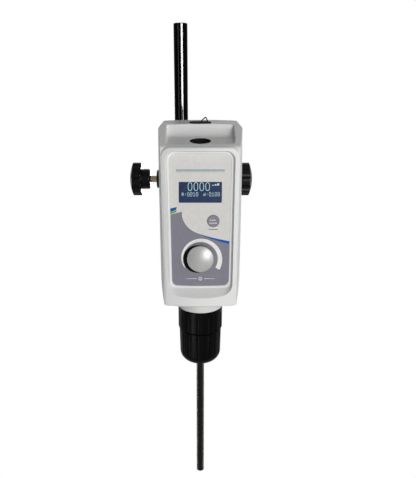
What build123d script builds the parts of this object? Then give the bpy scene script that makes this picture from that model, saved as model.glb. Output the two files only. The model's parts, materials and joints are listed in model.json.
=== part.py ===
"""Overhead stirrer on a stand mast, in millimetres.

The origin is the middle of the foot stud's seat, where a stand's base meets it. +Z runs up the mast, +X
is the operator's right and the control panel faces -Y. The drive head is built in its own frame: x
across, y back from the spindle axis, z up from the underside of the housing. It is then moved to where
the clamp holds it.
"""

import math
import os

from build123d import *

# ---------------------------------------------------------------- mast and foot stud
mast_radius = 8.0
mast_length = 257.0
mast_end_chamfer = 0.8
stud_radius = 5.0
stud_depth_in_mast = 18.0
stud_free_length = 14.0
stud_shoulder_radius = 7.4
stud_shoulder_length = 3.0
stud_socket_end_gap = 1.0

# ---------------------------------------------------------------- running fits and clearances
running_clearance = 0.05
thread_clearance = 0.07
moving_gap = 0.3
contact_gap = 0.05
head_clearance = 0.2
overcut = 1.0
overlap = 0.5
tolerance = 1e-3

# ---------------------------------------------------------------- clamp
clamp_height = 80.5
rod_spacing = 22.7
clamp_block_width = 54.8
clamp_block_depth = 34.0
clamp_block_height = 34.0
clamp_block_round = 4.0
clamp_boss_radius = 11.1
clamp_boss_length = 14.9
clamp_boss_round = 1.2
clamp_waist_depth = 3.0
clamp_waist_width = 9.0
screw_radius = 3.9
pad_radius = 5.2
pad_thickness = 4.0
pad_travel = 2.5
pad_chamfer = 0.4
screw_chamfer = 0.5
screw_visible_length = 7.7
screw_grip_in_knob = 17.0

# ---------------------------------------------------------------- star knobs
knob_hub_radius = 12.3
knob_hub_length = 10.9
knob_hub_chamfer = 1.6
knob_disc_radius = 20.2
knob_disc_thickness = 14.6
knob_disc_dome = 4.2
knob_disc_chamfer = 0.8
knob_lobe_count = 8
knob_scallop_radius = 5.2
knob_scallop_depth = 2.6

# ---------------------------------------------------------------- extension bar
bar_radius = 7.0
bar_past_mast = 16.0
bar_end_chamfer = 0.8
bar_groove_depth = 0.9
bar_groove_width = 1.3
bar_groove_from_end = 2.6
bar_flange_radius = 21.0
bar_flange_thickness = 6.0
bar_spigot_radius = 11.0
bar_spigot_length = 13.0
bar_socket_floor = 0.6
bar_end_gap = 0.4
bar_flange_round = 1.2
bar_collar_length = 6.0
bar_collar_round = 1.0
bar_screw_circle_radius = 15.6
bar_screw_count = 4
bar_screw_start = 45.0
bar_screw_radius = 2.0
bar_screw_head_radius = 3.4
bar_screw_head_height = 2.2
bar_screw_length = 8.5
bar_screw_sunk = 0.3
socket_radius = 1.5
socket_depth = 1.2

# ---------------------------------------------------------------- drive head housing
spindle_to_mast = 169.0
head_height = 159.5
head_mid_height = 80.0
head_bottom_half_width = 39.8
head_mid_half_width = 41.5
head_top_half_width = 38.3
head_crown = 1.2
head_corner_round = 3.0
front_reach = 36.0
front_half_width = 32.2
side_bulge = 0.6
split_reach = 44.0
rear_reach = 76.0
rear_half_width = 38.6
rear_corner_round = 13.0
rear_top_round = 9.0
rear_bottom_round = 6.0
rear_top_setback = 3.0
rear_bore_depth = 10.0
rear_foot_setback = 1.0
rear_upright_height = 90.0
front_foot_round = 1.5
knee_drop = 9.0
knee_reach = 2.0
knee_round = 4.0
top_front_round = 5.0
wall = 2.6
bar_height_on_head = 79.3

# front bezel: a leaning, bowed plate with a rounded top
bezel_lean = 5.95
bezel_drop = 14.9
bezel_top_half_width = 34.4
bezel_flare = 1.4
bezel_depth = 12.0
bezel_top_round = 8.5
bezel_bottom_round = 3.0
bezel_bow_radius = 140.0
bezel_edge_round = 2.4
body_setback = 4.5
bow_margin = 40.0

# scoop across the top, behind the bezel
scoop_half_width = 31.2
scoop_wall_reach = 20.5
scoop_floor_drop = 13.1
scoop_floor_slope = 9.0
scoop_cove_radius = 11.5
scoop_side_round = 2.8
rim_front_reach = -17.0
rim_front_drop = 16.5
scoop_past_rim = 6.0
outlet_radius = 9.6

# control panel recess
panel_depth = 8.0
panel_bottom = 19.0
panel_top_margin = 6.0
panel_top_half_width = 27.7
panel_bottom_half_width = 26.0
panel_top_round = 6.5
panel_bottom_round = 4.5
panel_bottom_bulge = 0.8
panel_thickness = 0.5
lip_width = 1.8
lip_height = 0.7
recess_bottom = 9.4
recess_top_margin = 3.6
recess_side_flare = 2.1
recess_top_round = 6.0
recess_bottom_round = 9.0
recess_clear = 6.0

# display, button and control knob, placed up the panel from the bezel's foot
display_centre = 104.6
display_width = 38.4
display_height = 18.6
display_round = 0.8
window_thickness = 1.0
window_step = 0.3
module_border = 1.2
board_thickness = 1.6
board_corner_round = 2.0
display_board_width = 52.0
display_board_height = 47.5
display_board_centre = 93.7
display_board_gap = 2.6
control_board_width = 44.0
control_board_height = 46.0
control_board_centre = 42.0
display_chip_place = (-10.0, 82.0)
display_chip_size = (9.0, 9.0, 1.4)
control_chip_place = (-13.0, 52.0)
control_chip_size = (10.0, 10.0, 1.6)
control_plug_place = (12.0, 30.0)
control_plug_size = (14.0, 5.0, 5.0)
button_across = 11.6
button_height = 78.8
button_radius = 5.3
button_proud = 0.5
button_edge_round = 0.4
switch_size = 6.0
button_flange_radius = 6.4
button_flange_thickness = 0.6
button_travel = 0.5
knob_height = 45.0
knob_cap_radius = 11.9
knob_cap_dome = 2.4
knob_cap_thickness = 2.2
knob_proud = 8.8
knob_skirt_radius = 11.3
knob_skirt_foot_radius = 11.7
knob_flute_count = 24
knob_flute_radius = 0.5
knob_push_travel = 0.6
knob_cap_round = 0.6
knob_spindle_gap = 0.6
encoder_spindle_radius = 3.0
encoder_bush_radius = 4.4
encoder_body_size = 12.4
encoder_body_depth = 6.6
encoder_plunger_radius = 1.2
encoder_pocket_depth = 4.5
encoder_bush_step = 0.2
plunger_gap = 0.3
plunger_head_thickness = 0.9

# ---------------------------------------------------------------- spindle, bearings and boss
spindle_radius = 7.5
spindle_bore_radius = 5.2
spindle_below_outlet = 3.4
spindle_in_chuck = 20.0
spindle_end_chamfer = 0.4
boss_radius = 21.9
boss_length = 12.7
boss_edge_round = 0.6
boss_lip = 1.2
boss_bore_gap = 1.2
boss_spigot_radius = 18.0
lower_bearing_radius = 16.0
lower_bearing_width = 9.0
upper_bearing_radius = 12.0
upper_bearing_width = 5.0
upper_bearing_below_floor = 5.2
upper_boss_wall = 2.6
bearing_ring_share = 0.22
bearing_groove_depth = 0.5
seal_radius = 11.0
seal_thickness = 1.6
retainer_thickness = 1.0
retainer_radius = 8.9

# ---------------------------------------------------------------- gears
gear_module = 1.25
spindle_gear_teeth = 38
pinion_teeth = 20
gear_width = 6.0
gear_above_floor = 1.0
gear_backlash = 0.22
gear_hub_radius = 11.0
gear_web_thickness = 3.0
gear_rim_depth = 4.0
pressure_angle = 20.0
dedendum = 1.25
flank_start = 0.2
gear_hole_count = 6
gear_hole_radius = 2.6

# ---------------------------------------------------------------- motor and drive frame
motor_radius = 25.5
motor_length = 46.0
motor_shaft_radius = 3.0
motor_cap_thickness = 3.0
motor_wall = 1.8
stator_thickness = 7.0
stator_length = 26.0
stator_slots = 9
rotor_radius = 15.6
rotor_length = 28.0
motor_bearing_radius = 8.0
motor_bearing_width = 4.0
motor_edge_chamfer = 1.0
motor_end_wall = 0.8
motor_shaft_gap = 0.6
motor_shaft_end_gap = 0.4
motor_shaft_chamfer = 0.3
stator_slot_radius = 2.1
stator_slot_reach = 2.4
frame_plate_thickness = 4.0
frame_half_width = 24.4
frame_front = -23.2
frame_rear = 64.0
frame_corner_round = 4.0
frame_post_radius = 2.9
frame_post_inset = 3.2
frame_gear_gap = 1.4
frame_spindle_gap = 1.5

# ---------------------------------------------------------------- keyless chuck
chuck_length = 59.6
chuck_gap_under_boss = 0.5
rear_sleeve_radius = 21.6
rear_sleeve_length = 23.4
rear_sleeve_collar = 4.6
rear_sleeve_chamfer = 1.5
rear_sleeve_top_chamfer = 0.5
sleeve_gap = 0.4
front_sleeve_radius = 20.6
front_sleeve_foot_radius = 20.1
front_sleeve_round_start = 48.2
chuck_nose_radius = 8.0
chuck_lip_radius = 9.2
chuck_nose_land = 0.6
nose_arc_out = 2.6
nose_arc_down = 2.0
core_cone_top = 10.0
core_cone_radius = 13.0
nut_groove_gap = 0.2
nut_clearance = 0.15
sleeve_wall = 1.9
flute_count = 15
flute_radius = 2.6
flute_depth = 0.75
flute_end_gap = 1.2
flute_end_round = 1.0
flute_low = 5.0
flute_run_out = 4.0
chuck_core_radius = 16.6
chuck_groove_radius = 11.6
nut_height = 5.0
nut_above_nose = 15.6
jaw_angle = 16.0
jaw_radius = 3.2
jaw_length = 23.5
jaw_bore_clearance = 0.08
jaw_travel = 3.4
jaw_inset_at_nose = 0.35
jaw_above_nose = 0.6
jaw_count = 3
jaw_start = -3.0
jaw_end_room = 1.0
jaw_wedge_half_angle = 30.0
jaw_tooth_count = 5
jaw_tooth_low = 12.0
jaw_tooth_pitch = 1.9
jaw_tooth_depth = 0.45

# ---------------------------------------------------------------- stirring shaft
shaft_radius = 4.0
shaft_length = 300.0
shaft_free_length = 137.8
shaft_end_chamfer = 0.5

# ---------------------------------------------------------------- cap parked on the top face
cap_radius = 10.2
cap_thickness = 1.2
cap_stem_radius = 8.4
cap_stem_length = 5.0
cap_reach = 31.5
cap_loop_height = 4.6
cap_loop_width = 7.0
cap_loop_wire = 0.55
cap_loop_offset = 3.6
cap_socket_wall = 1.6
cap_socket_floor = 3.5
cap_socket_gap = 0.5
cap_seat_depth = 0.6
cap_edge_round = 0.5
cap_loop_root = 0.3
cap_loop_round = 0.8
cap_loop_peak = 0.22

# ---------------------------------------------------------------- rear of the housing
vent_count = 7
vent_width = 36.0
vent_height = 2.4
vent_pitch = 6.0
vent_round = 1.05
vent_bottom = 104.0
rocker_across = 20.0
rocker_height = 26.0
rocker_width = 13.0
rocker_tall = 19.0
rocker_flange = 1.4
rocker_flange_thickness = 1.6
rocker_depth = 12.0
rocker_throw = 16.0
rocker_dip = 1.0
rocker_end_gap = 1.6
rocker_rim = 1.5
rocker_sunk = 0.4
rocker_body_depth = 4.2
rocker_body_taper = 1.2
rocker_foot_share = 0.8
rocker_pivot_depth = 3.0
rocker_pivot_radius = 1.0
rocker_pivot_grip = 1.0
rocker_well_depth = 7.0
rocker_neck_gap = 0.1
jack_across = -20.0
jack_radius = 5.6
jack_flange_radius = 7.4
jack_flange_thickness = 1.4
jack_depth = 12.0
jack_bore_radius = 2.9
jack_bore_depth = 9.0
jack_pin_radius = 1.0
jack_pin_sunk = 1.0
shell_screw_radius = 1.5
shell_screw_head_radius = 2.9
shell_screw_head_height = 1.8
shell_screw_length = 26.0
shell_screw_depth = 5.0
shell_screw_end_gap = 0.5
shell_post_radius = 4.2
shell_post_inset_x = 9.0
shell_post_overlap = 9.0
shell_rib_thickness = 2.4
shell_post_low = 10.0
shell_post_high = 146.0
power_board_width = 58.0
power_board_height = 42.0
power_board_bottom = 98.0
power_board_to_wall = 5.5
standoff_radius = 1.8
standoff_inset = 3.5
capacitor_radius = 5.5
capacitor_length = 14.0
capacitor_places = (2.0, 16.0)
capacitor_up_board = 12.0
transformer_size = 17.0
transformer_depth = 13.6
transformer_up_board = 4.0
heat_sink_fins = 5
heat_sink_width = 48.0
heat_sink_height = 15.0
heat_sink_up_board = 25.0
heat_sink_base = 3.0
heat_sink_depth = 12.0
heat_sink_fin_thickness = 1.6

lean = math.radians(bezel_lean)
head_x = rod_spacing
head_y = -spindle_to_mast
head_z = clamp_height - bar_height_on_head
HEAD = Location((head_x, head_y, head_z))
cutter_size = 400.0


# ================================================================ helpers
def outline(points, rounds):
    """A closed face in the XY plane from corners, each with its own rounding radius."""
    pairs = list(zip(points, points[1:] + points[:1]))
    edges = [Line(a, b) for a, b in pairs]
    face = make_face(Curve() + edges)
    for corner, radius in zip(points, rounds):
        if radius:
            spot = [v for v in face.vertices() if (Vector(v) - Vector(*corner)).length < 1e-3]
            face = fillet(spot, radius)
    return face


def tube(outer, inner, low, high):
    """A tube along Z from low to high."""
    ring = Circle(outer) - Circle(inner)
    return Pos(0, 0, low) * extrude(ring, high - low)


def rod(radius, low, high, chamfered=0.0):
    """A round bar along Z with chamfered ends."""
    bar = Pos(0, 0, low) * Cylinder(radius, high - low, align=(Align.CENTER, Align.CENTER, Align.MIN))
    if chamfered:
        bar = chamfer(bar.edges().filter_by(GeomType.CIRCLE), chamfered)
    return bar


def block(x, y, z):
    """A box from three (low, high) pairs."""
    size = [b - a for a, b in (x, y, z)]
    return Pos(x[0], y[0], z[0]) * Box(*size, align=(Align.MIN, Align.MIN, Align.MIN))


def turned(points):
    """A solid of revolution about Z from (radius, height) points."""
    face = make_face(Polyline(*[(r, 0, h) for r, h in points], close=True))
    return revolve(face, Axis.Z)


def ring_of(count, radius, solid, start=0.0):
    """Copies of a solid set round the Z axis."""
    step = 360.0 / count
    return [Rot(0, 0, start + i * step) * Pos(radius, 0, 0) * solid for i in range(count)]


def on_panel(across, up, depth):
    """The place on the leaning front: x across, y up the lean and z out towards the operator."""
    y = -front_reach + up * math.sin(lean) + depth * math.cos(lean)
    z = up * math.cos(lean) - depth * math.sin(lean)
    return Location((across, y, z), (90.0 - bezel_lean, 0, 0))


scoop_floor_height = head_height - scoop_floor_drop
rim_front_height = head_height - rim_front_drop
bezel_height = head_height - bezel_drop
recess_top = bezel_height - recess_top_margin
panel_top = bezel_height - panel_top_margin


def floor_height_at(y):
    """Height of the scoop's sloping floor."""
    return scoop_floor_height + y * math.tan(math.radians(scoop_floor_slope))


# ================================================================ stand
mast_foot = stud_shoulder_length + contact_gap


def make_foot_stud():
    """The stud that holds the mast on a stand's base, with the shoulder that seats on the base."""
    top = mast_foot + stud_depth_in_mast
    stud = rod(stud_radius - running_clearance, -stud_free_length, top, mast_end_chamfer)
    return stud + rod(stud_shoulder_radius, 0, stud_shoulder_length)


def make_mast():
    mast = rod(mast_radius, mast_foot, mast_foot + mast_length, mast_end_chamfer)
    socket_end = mast_foot + stud_depth_in_mast + stud_socket_end_gap
    return mast - rod(stud_radius, mast_foot - overcut, socket_end)


# ================================================================ clamp
clamp_middle = rod_spacing / 2
rod_offset = rod_spacing / 2
clamp_end = clamp_block_width / 2 + clamp_boss_length
clamp_sides = ((-1, mast_radius), (1, bar_radius))


def along_x(solid, side):
    """Turns a solid built along +Z so that it runs out along X, to the left (-1) or right (+1)."""
    return Pos(clamp_middle, 0, clamp_height) * Rot(0, side * 90, 0) * solid


def make_clamp_body():
    """The block with crossed holes for the mast and the bar, and a threaded boss at each end."""
    half = (clamp_block_width / 2, clamp_block_depth / 2, clamp_block_height / 2)
    body = Box(clamp_block_width, clamp_block_depth, clamp_block_height)
    body = fillet(body.edges(), clamp_block_round)
    waist = Box(clamp_waist_width, clamp_block_depth, clamp_waist_depth * 2)
    body -= Pos(0, 0, half[2]) * waist
    body -= Pos(0, 0, -half[2]) * waist
    body = Pos(clamp_middle, 0, clamp_height) * body
    for side, _ in clamp_sides:
        boss = rod(clamp_boss_radius, half[0] - clamp_block_round, clamp_end)
        boss = fillet(boss.edges().sort_by(Axis.Z)[-1], clamp_boss_round)
        body += along_x(boss, side)
    reach = half[2] + overcut
    body -= rod(mast_radius + running_clearance, clamp_height - reach, clamp_height + reach)
    bar_hole = rod(bar_radius + running_clearance, -half[1] - overcut, half[1] + overcut)
    body -= Pos(rod_spacing, 0, clamp_height) * Rot(90, 0, 0) * bar_hole
    for side, rod_r in clamp_sides:
        pad_end = rod_offset + rod_r + pad_thickness + pad_travel + moving_gap
        body -= along_x(rod(pad_radius + running_clearance, rod_offset, pad_end), side)
        body -= along_x(rod(screw_radius + thread_clearance, rod_offset, clamp_end + overcut), side)
    return body


def make_pad(side, rod_r):
    start = rod_offset + rod_r + contact_gap
    return along_x(rod(pad_radius, start, start + pad_thickness, pad_chamfer), side)


def make_clamp_screw(side, rod_r):
    start = rod_offset + rod_r + contact_gap + pad_thickness
    end = clamp_end + screw_visible_length + screw_grip_in_knob
    return along_x(rod(screw_radius, start, end, screw_chamfer), side)


def make_star_knob(side):
    """A scalloped disc with a domed face, on a hub that grips the clamp screw."""
    hub_start = clamp_end + screw_visible_length
    disc_start = hub_start + knob_hub_length
    disc_end = disc_start + knob_disc_thickness
    hub = rod(knob_hub_radius, hub_start, disc_start + overlap)
    hub = chamfer(hub.edges().sort_by(Axis.Z)[0], knob_hub_chamfer)
    dome_radius = (knob_disc_radius**2 + knob_disc_dome**2) / (2 * knob_disc_dome)
    disc = rod(knob_disc_radius, disc_start, disc_end)
    disc &= Pos(0, 0, disc_end - dome_radius) * Sphere(dome_radius)
    scallop = rod(knob_scallop_radius, disc_start - overcut, disc_end + overcut)
    far = knob_disc_radius + knob_scallop_radius - knob_scallop_depth
    for cut in ring_of(knob_lobe_count, far, scallop, 180.0 / knob_lobe_count):
        disc -= cut
    disc = chamfer(disc.faces().sort_by(Axis.Z)[0].edges(), knob_disc_chamfer)
    knob = disc + hub
    socket_end = hub_start + screw_grip_in_knob
    knob -= rod(screw_radius, hub_start - overcut, socket_end)
    return along_x(knob, side)


# ================================================================ extension bar
bar_socket_end = rear_reach - bar_spigot_length + bar_socket_floor
bar_flange_top = rear_reach + bar_flange_thickness


def make_bar():
    """The round bar from the head's flange through the clamp, grooved near its front end."""
    front = bar_socket_end + bar_end_gap
    back = spindle_to_mast + bar_past_mast
    bar = rod(bar_radius, front, back, bar_end_chamfer)
    groove = tube(
        bar_radius + overcut,
        bar_radius - bar_groove_depth,
        front + bar_groove_from_end,
        front + bar_groove_from_end + bar_groove_width,
    )
    return bar_axis(bar - groove)


def bar_axis(solid):
    """Turns a solid built along +Z so that it runs back along the bar's axis."""
    return Pos(0, 0, bar_height_on_head) * Rot(-90, 0, 0) * solid


def make_bar_flange():
    """The flange on the rear wall, with a spigot through the wall and a collar round the bar."""
    flange = rod(bar_flange_radius, rear_reach, bar_flange_top)
    flange = fillet(flange.edges().sort_by(Axis.Z)[-1], bar_flange_round)
    collar = rod(bar_spigot_radius, rear_reach, bar_flange_top + bar_collar_length)
    collar = fillet(collar.edges().sort_by(Axis.Z)[-1], bar_collar_round)
    spigot = rod(bar_spigot_radius, rear_reach - bar_spigot_length, rear_reach)
    body = flange + collar + spigot
    body -= rod(bar_radius + running_clearance, bar_socket_end, bar_flange_top + bar_collar_length + overcut)
    past = bar_flange_top + overcut
    hole = rod(bar_screw_radius, rear_reach - overcut, past)
    hole += rod(bar_screw_head_radius + head_clearance, bar_flange_top - bar_screw_head_height, past)
    for cut in ring_of(bar_screw_count, bar_screw_circle_radius, hole, bar_screw_start):
        body -= cut
    return bar_axis(body)


def make_bar_screws():
    """The flange's screws, sunk a little below its face, with round sockets."""
    head_top = bar_flange_top - bar_screw_sunk
    screw = rod(bar_screw_radius, bar_flange_top - bar_screw_length, head_top)
    screw += rod(bar_screw_head_radius, bar_flange_top - bar_screw_head_height, head_top)
    screw -= rod(socket_radius, head_top - socket_depth, head_top + overcut)
    screws = ring_of(bar_screw_count, bar_screw_circle_radius, screw, bar_screw_start)
    return Compound([bar_axis(s) for s in screws])


# ================================================================ housing form
def front_view():
    """The housing seen from the front: slightly barrelled sides and a crowned top."""
    top_side = head_height - head_crown
    right = ThreePointArc(
        (head_bottom_half_width, 0),
        (head_mid_half_width, head_mid_height),
        (head_top_half_width, top_side),
    )
    left = mirror(right, Plane.YZ)
    top = ThreePointArc((head_top_half_width, top_side), (0, head_height), (-head_top_half_width, top_side))
    bottom = Line((-head_bottom_half_width, 0), (head_bottom_half_width, 0))
    face = make_face(Curve() + [right, top, left, bottom])
    return fillet(face.vertices(), head_corner_round)


def plan_view():
    """The housing seen from above: narrow at the front, widest where the two shells meet."""
    middle = ((front_half_width + head_mid_half_width) / 2 + side_bulge, (split_reach - front_reach) / 2)
    start = (front_half_width, -front_reach)
    widest = (head_mid_half_width, split_reach)
    right = ThreePointArc(start, middle, widest)
    rear = Line(widest, (rear_half_width, rear_reach))
    edges = [right, rear, mirror(right, Plane.YZ), mirror(rear, Plane.YZ)]
    edges.append(Line(start, (-front_half_width, -front_reach)))
    edges.append(Line((rear_half_width, rear_reach), (-rear_half_width, rear_reach)))
    face = make_face(Curve() + edges)
    corners = [v for v in face.vertices() if abs(v.Y - rear_reach) < tolerance]
    return fillet(corners, rear_corner_round)


def side_view():
    """The housing seen from the right: y across the page, z up it, with the sloping rims of the scoop."""
    slope = math.tan(lean)
    foot = (-front_reach + body_setback, 0)
    knee_z = rim_front_height - knee_drop
    knee = (foot[0] + knee_z * slope, knee_z)
    points = [
        foot,
        knee,
        (rim_front_reach + knee_reach, rim_front_height),
        (scoop_wall_reach, head_height),
        (rear_reach - rear_top_setback, head_height),
        (rear_reach, rear_upright_height),
        (rear_reach - rear_foot_setback, 0),
    ]
    rounds = [front_foot_round, knee_round, knee_round, top_front_round, rear_top_round, 0, rear_bottom_round]
    return outline(points, rounds)


def housing_form(inset):
    """The closed form shared by both shells, drawn in from the outside by an inset."""
    views = [front_view(), plan_view(), side_view()]
    if inset:
        views = [offset(v, amount=-inset, kind=Kind.INTERSECTION) for v in views]
    front, plan, side = views
    long = cutter_size
    a = Rot(90, 0, 0) * extrude(front, long / 2, both=True)
    b = extrude(plan, long / 2, both=True)
    c = extrude(Plane.YZ.location * side, long / 2, both=True)
    return a & b & c


def bezel_outline(grow, flare=0.0):
    """The leaning front plate's outline, x across and y up the lean."""
    top = bezel_height + grow
    low = -grow
    points = [
        (-front_half_width - grow - flare, low),
        (front_half_width + grow + flare, low),
        (bezel_top_half_width + grow + flare, top),
        (-bezel_top_half_width - grow - flare, top),
    ]
    rounds = [bezel_bottom_round, bezel_bottom_round, bezel_top_round + grow, bezel_top_round + grow]
    return outline(points, rounds)


def bezel_plate():
    """The bowed front plate that frames the control panel."""
    front = on_panel(0, 0, 0) * bezel_outline(0)
    back = on_panel(0, 0, bezel_depth) * bezel_outline(0, bezel_flare)
    plate = loft([front, back])
    bow = rod(bezel_bow_radius, -bow_margin, bezel_height + bow_margin)
    plate &= on_panel(0, 0, bezel_bow_radius) * Rot(-90, 0, 0) * bow
    bowed = plate.faces().filter_by(GeomType.CYLINDER).sort_by(SortBy.AREA)[-1]
    plate = fillet(bowed.edges(), bezel_edge_round)
    return plate & block((-cutter_size, cutter_size), (-cutter_size, cutter_size), (0, cutter_size))


def panel_outline(
    grow=0.0, top=panel_top, low=panel_bottom, corner_top=panel_top_round, corner_low=panel_bottom_round
):
    """The panel's outline with a slightly bulging lower edge."""
    high = top + grow
    base = low - grow
    wide_top = panel_top_half_width + grow
    wide_low = panel_bottom_half_width + grow
    bulge = ThreePointArc((-wide_low, base), (0, base - panel_bottom_bulge), (wide_low, base))
    sides = [
        Line((wide_low, base), (wide_top, high)),
        Line((wide_top, high), (-wide_top, high)),
        Line((-wide_top, high), (-wide_low, base)),
    ]
    face = make_face(Curve() + [bulge, *sides])
    upper = [v for v in face.vertices() if v.Y > (high + base) / 2]
    face = fillet(upper, corner_top + grow * 0.5)
    lower = [v for v in face.vertices() if v.Y < base + tolerance]
    return fillet(lower, corner_low + grow * 0.5)


def recess_form(grow=0.0):
    """The pocket in the front plate, flaring from the panel's edge out to the front face."""
    inner = panel_outline(lip_width + grow)
    spread = lip_width + recess_side_flare
    outer = panel_outline(
        spread + grow, recess_top - spread, recess_bottom + spread, recess_top_round, recess_bottom_round
    )
    deep = on_panel(0, 0, panel_depth + grow) * inner
    front = on_panel(0, 0, 0) * outer
    return loft([deep, front]) + extrude(front, recess_clear)


def scoop_form(grow=0.0):
    """The cove behind the bezel: a sloping floor that sweeps up into the wall under the top face."""
    slope = math.radians(scoop_floor_slope)
    wall_y = scoop_wall_reach + grow
    radius = scoop_cove_radius
    low_y = rim_front_reach - scoop_past_rim
    drop = grow / math.cos(slope)
    corner = (wall_y, floor_height_at(wall_y) - drop)
    points = [
        (low_y, floor_height_at(low_y) - drop),
        corner,
        (wall_y, cutter_size),
        (low_y, cutter_size),
    ]
    profile = outline(points, [0, radius, 0, 0])
    half = scoop_half_width + grow
    form = extrude(Plane.YZ.location * profile, half, both=True)
    ends = [e for e in form.edges() if abs(abs(e.center().X) - half) < tolerance]
    ends = [e for e in ends if e.center().Z < head_height and e.center().Y > low_y + tolerance]
    return fillet(ends, scoop_side_round)


def shell_posts(radius, low_y, high_y):
    """Corner posts that take the housing screws, along Y."""
    posts = []
    for side in (-1, 1):
        for z in (shell_post_low, shell_post_high):
            x = side * (rear_half_width - shell_post_inset_x)
            posts.append(Pos(x, 0, z) * Rot(-90, 0, 0) * rod(radius, low_y, high_y))
    return posts


def post_ribs():
    """Webs from each corner post to the side wall."""
    ribs = []
    inner = rear_half_width - shell_post_inset_x
    ends = (split_reach - shell_post_overlap, rear_reach - rear_corner_round)
    for z in (shell_post_low, shell_post_high):
        tall = (z - shell_rib_thickness / 2, z + shell_rib_thickness / 2)
        ribs.append(block((inner, head_mid_half_width), ends, tall))
        ribs.append(block((-head_mid_half_width, -inner), ends, tall))
    return ribs


def board_posts():
    """Standoffs on the rear wall for the power board."""
    posts = []
    for x in (-1, 1):
        for y in (-1, 1):
            across = x * (power_board_width / 2 - standoff_inset)
            half = power_board_height / 2
            up = power_board_bottom + half + y * (half - standoff_inset)
            start = power_board_back + contact_gap
            post = rod(standoff_radius, start, rear_reach - overcut)
            posts.append(Pos(across, 0, up) * Rot(-90, 0, 0) * post)
    return posts


def make_shells():
    """The front and rear mouldings of the housing."""
    outer = housing_form(0)
    inner = housing_form(wall)
    plate = bezel_plate()
    solid_front = outer + plate
    shell = solid_front - inner
    shell += recess_form(wall) & solid_front
    shell += scoop_form(wall) & solid_front
    post_end = rear_reach - overcut
    for post in shell_posts(shell_post_radius, split_reach - shell_post_overlap, post_end):
        shell += post & outer
    for rib in post_ribs():
        shell += rib & outer
    for post in board_posts():
        shell += post
    for board in (
        (display_board_width, display_board_height, display_board_centre, display_board_front),
        (control_board_width, control_board_height, control_board_centre, control_board_front),
    ):
        for post in panel_standoffs(*board):
            shell += post
    outlet_boss = rod(upper_bearing_radius + upper_boss_wall, upper_bearing_floor - overcut, head_height)
    shell += outlet_boss & solid_front
    cap_hole_floor = cap_seat - cap_stem_length - cap_socket_gap
    cap_socket = rod(cap_stem_radius + cap_socket_wall, cap_hole_floor - cap_socket_floor, head_height)
    shell += (Pos(0, cap_reach, 0) * cap_socket) & solid_front
    shell -= recess_form()
    shell -= scoop_form()
    shell += panel_lip()
    bearing_top = upper_bearing_floor + upper_bearing_width
    shell -= rod(outlet_radius, bearing_top, head_height + overcut)
    shell -= rod(upper_bearing_radius, upper_bearing_floor - 2 * overcut, bearing_top)
    shell -= rod(boss_spigot_radius + contact_gap, -overcut, wall + overcut)
    cap_hole = rod(cap_stem_radius + contact_gap, cap_hole_floor, head_height + overcut)
    shell -= Pos(0, cap_reach, 0) * cap_hole
    cap_flat = rod(cap_radius + moving_gap, cap_seat, head_height + overcut)
    shell -= Pos(0, cap_reach, 0) * cap_flat
    shell = cut_panel_openings(shell)
    shell = cut_rear_openings(shell)
    everywhere = (-cutter_size, cutter_size)
    front_side = block(everywhere, (-cutter_size, split_reach), everywhere)
    front = shell & front_side
    rear = shell - front_side
    return front, rear


def panel_lip():
    """The raised bead round the panel."""
    bead = panel_outline(lip_width) - panel_outline(contact_gap)
    return extrude(on_panel(0, 0, panel_depth + overlap) * bead, lip_height + overlap)


def cut_panel_openings(shell):
    """Opens the panel's wall for the display, the mode button and the control knob's bush."""
    back = panel_depth + wall + overcut
    deep = wall + 2 * overcut
    window = RectangleRounded(display_width, display_height, display_round)
    shell -= extrude(on_panel(0, display_centre, back) * window, deep)
    shell -= on_panel(button_across, button_height, back) * rod(button_radius + moving_gap, 0, deep)
    shell -= on_panel(0, knob_height, back) * rod(encoder_bush_radius, 0, deep)
    return shell


def cut_rear_openings(shell):
    """Opens the rear wall for the vents, rocker, jack, bar flange and screws."""
    outside = rear_reach + overcut
    vent = Box(vent_width, rear_bore_depth * 2, vent_height)
    vent = fillet(vent.edges().filter_by(Axis.Y), vent_round)
    for i in range(vent_count):
        shell -= Pos(0, rear_reach, vent_bottom + i * vent_pitch) * vent
    rocker_hole = Box(rocker_width, rear_bore_depth * 2, rocker_tall)
    shell -= Pos(rocker_across, rear_reach, rocker_height) * rocker_hole
    inside = rear_reach - rear_bore_depth
    shell -= rear_at(jack_across, rocker_height, rod(jack_radius, inside, outside))
    shell -= bar_axis(rod(bar_spigot_radius + contact_gap, inside, outside))
    screw_hole = rod(bar_screw_radius, inside, outside)
    for cut in ring_of(bar_screw_count, bar_screw_circle_radius, screw_hole, bar_screw_start):
        shell -= bar_axis(cut)
    for hole in shell_posts(shell_screw_radius, shell_screw_tip - shell_screw_end_gap, outside):
        shell -= hole
    for hole in shell_posts(shell_screw_head_radius + head_clearance, screw_seat, outside):
        shell -= hole
    return shell


upper_bearing_floor = scoop_floor_height - upper_bearing_below_floor - upper_bearing_width
cap_seat = head_height - cap_seat_depth
screw_seat = rear_reach - shell_screw_depth
shell_screw_tip = screw_seat - shell_screw_length


def make_shell_screws():
    """The screws that pull the rear shell on to the front one, deep in their posts."""
    head_top = screw_seat + shell_screw_head_height
    shanks = shell_posts(shell_screw_radius, shell_screw_tip, screw_seat + overlap)
    heads = shell_posts(shell_screw_head_radius, screw_seat, head_top)
    sockets = shell_posts(socket_radius, head_top - socket_depth, head_top + overcut)
    return Compound([shank + head - socket for shank, head, socket in zip(shanks, heads, sockets)])


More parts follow.
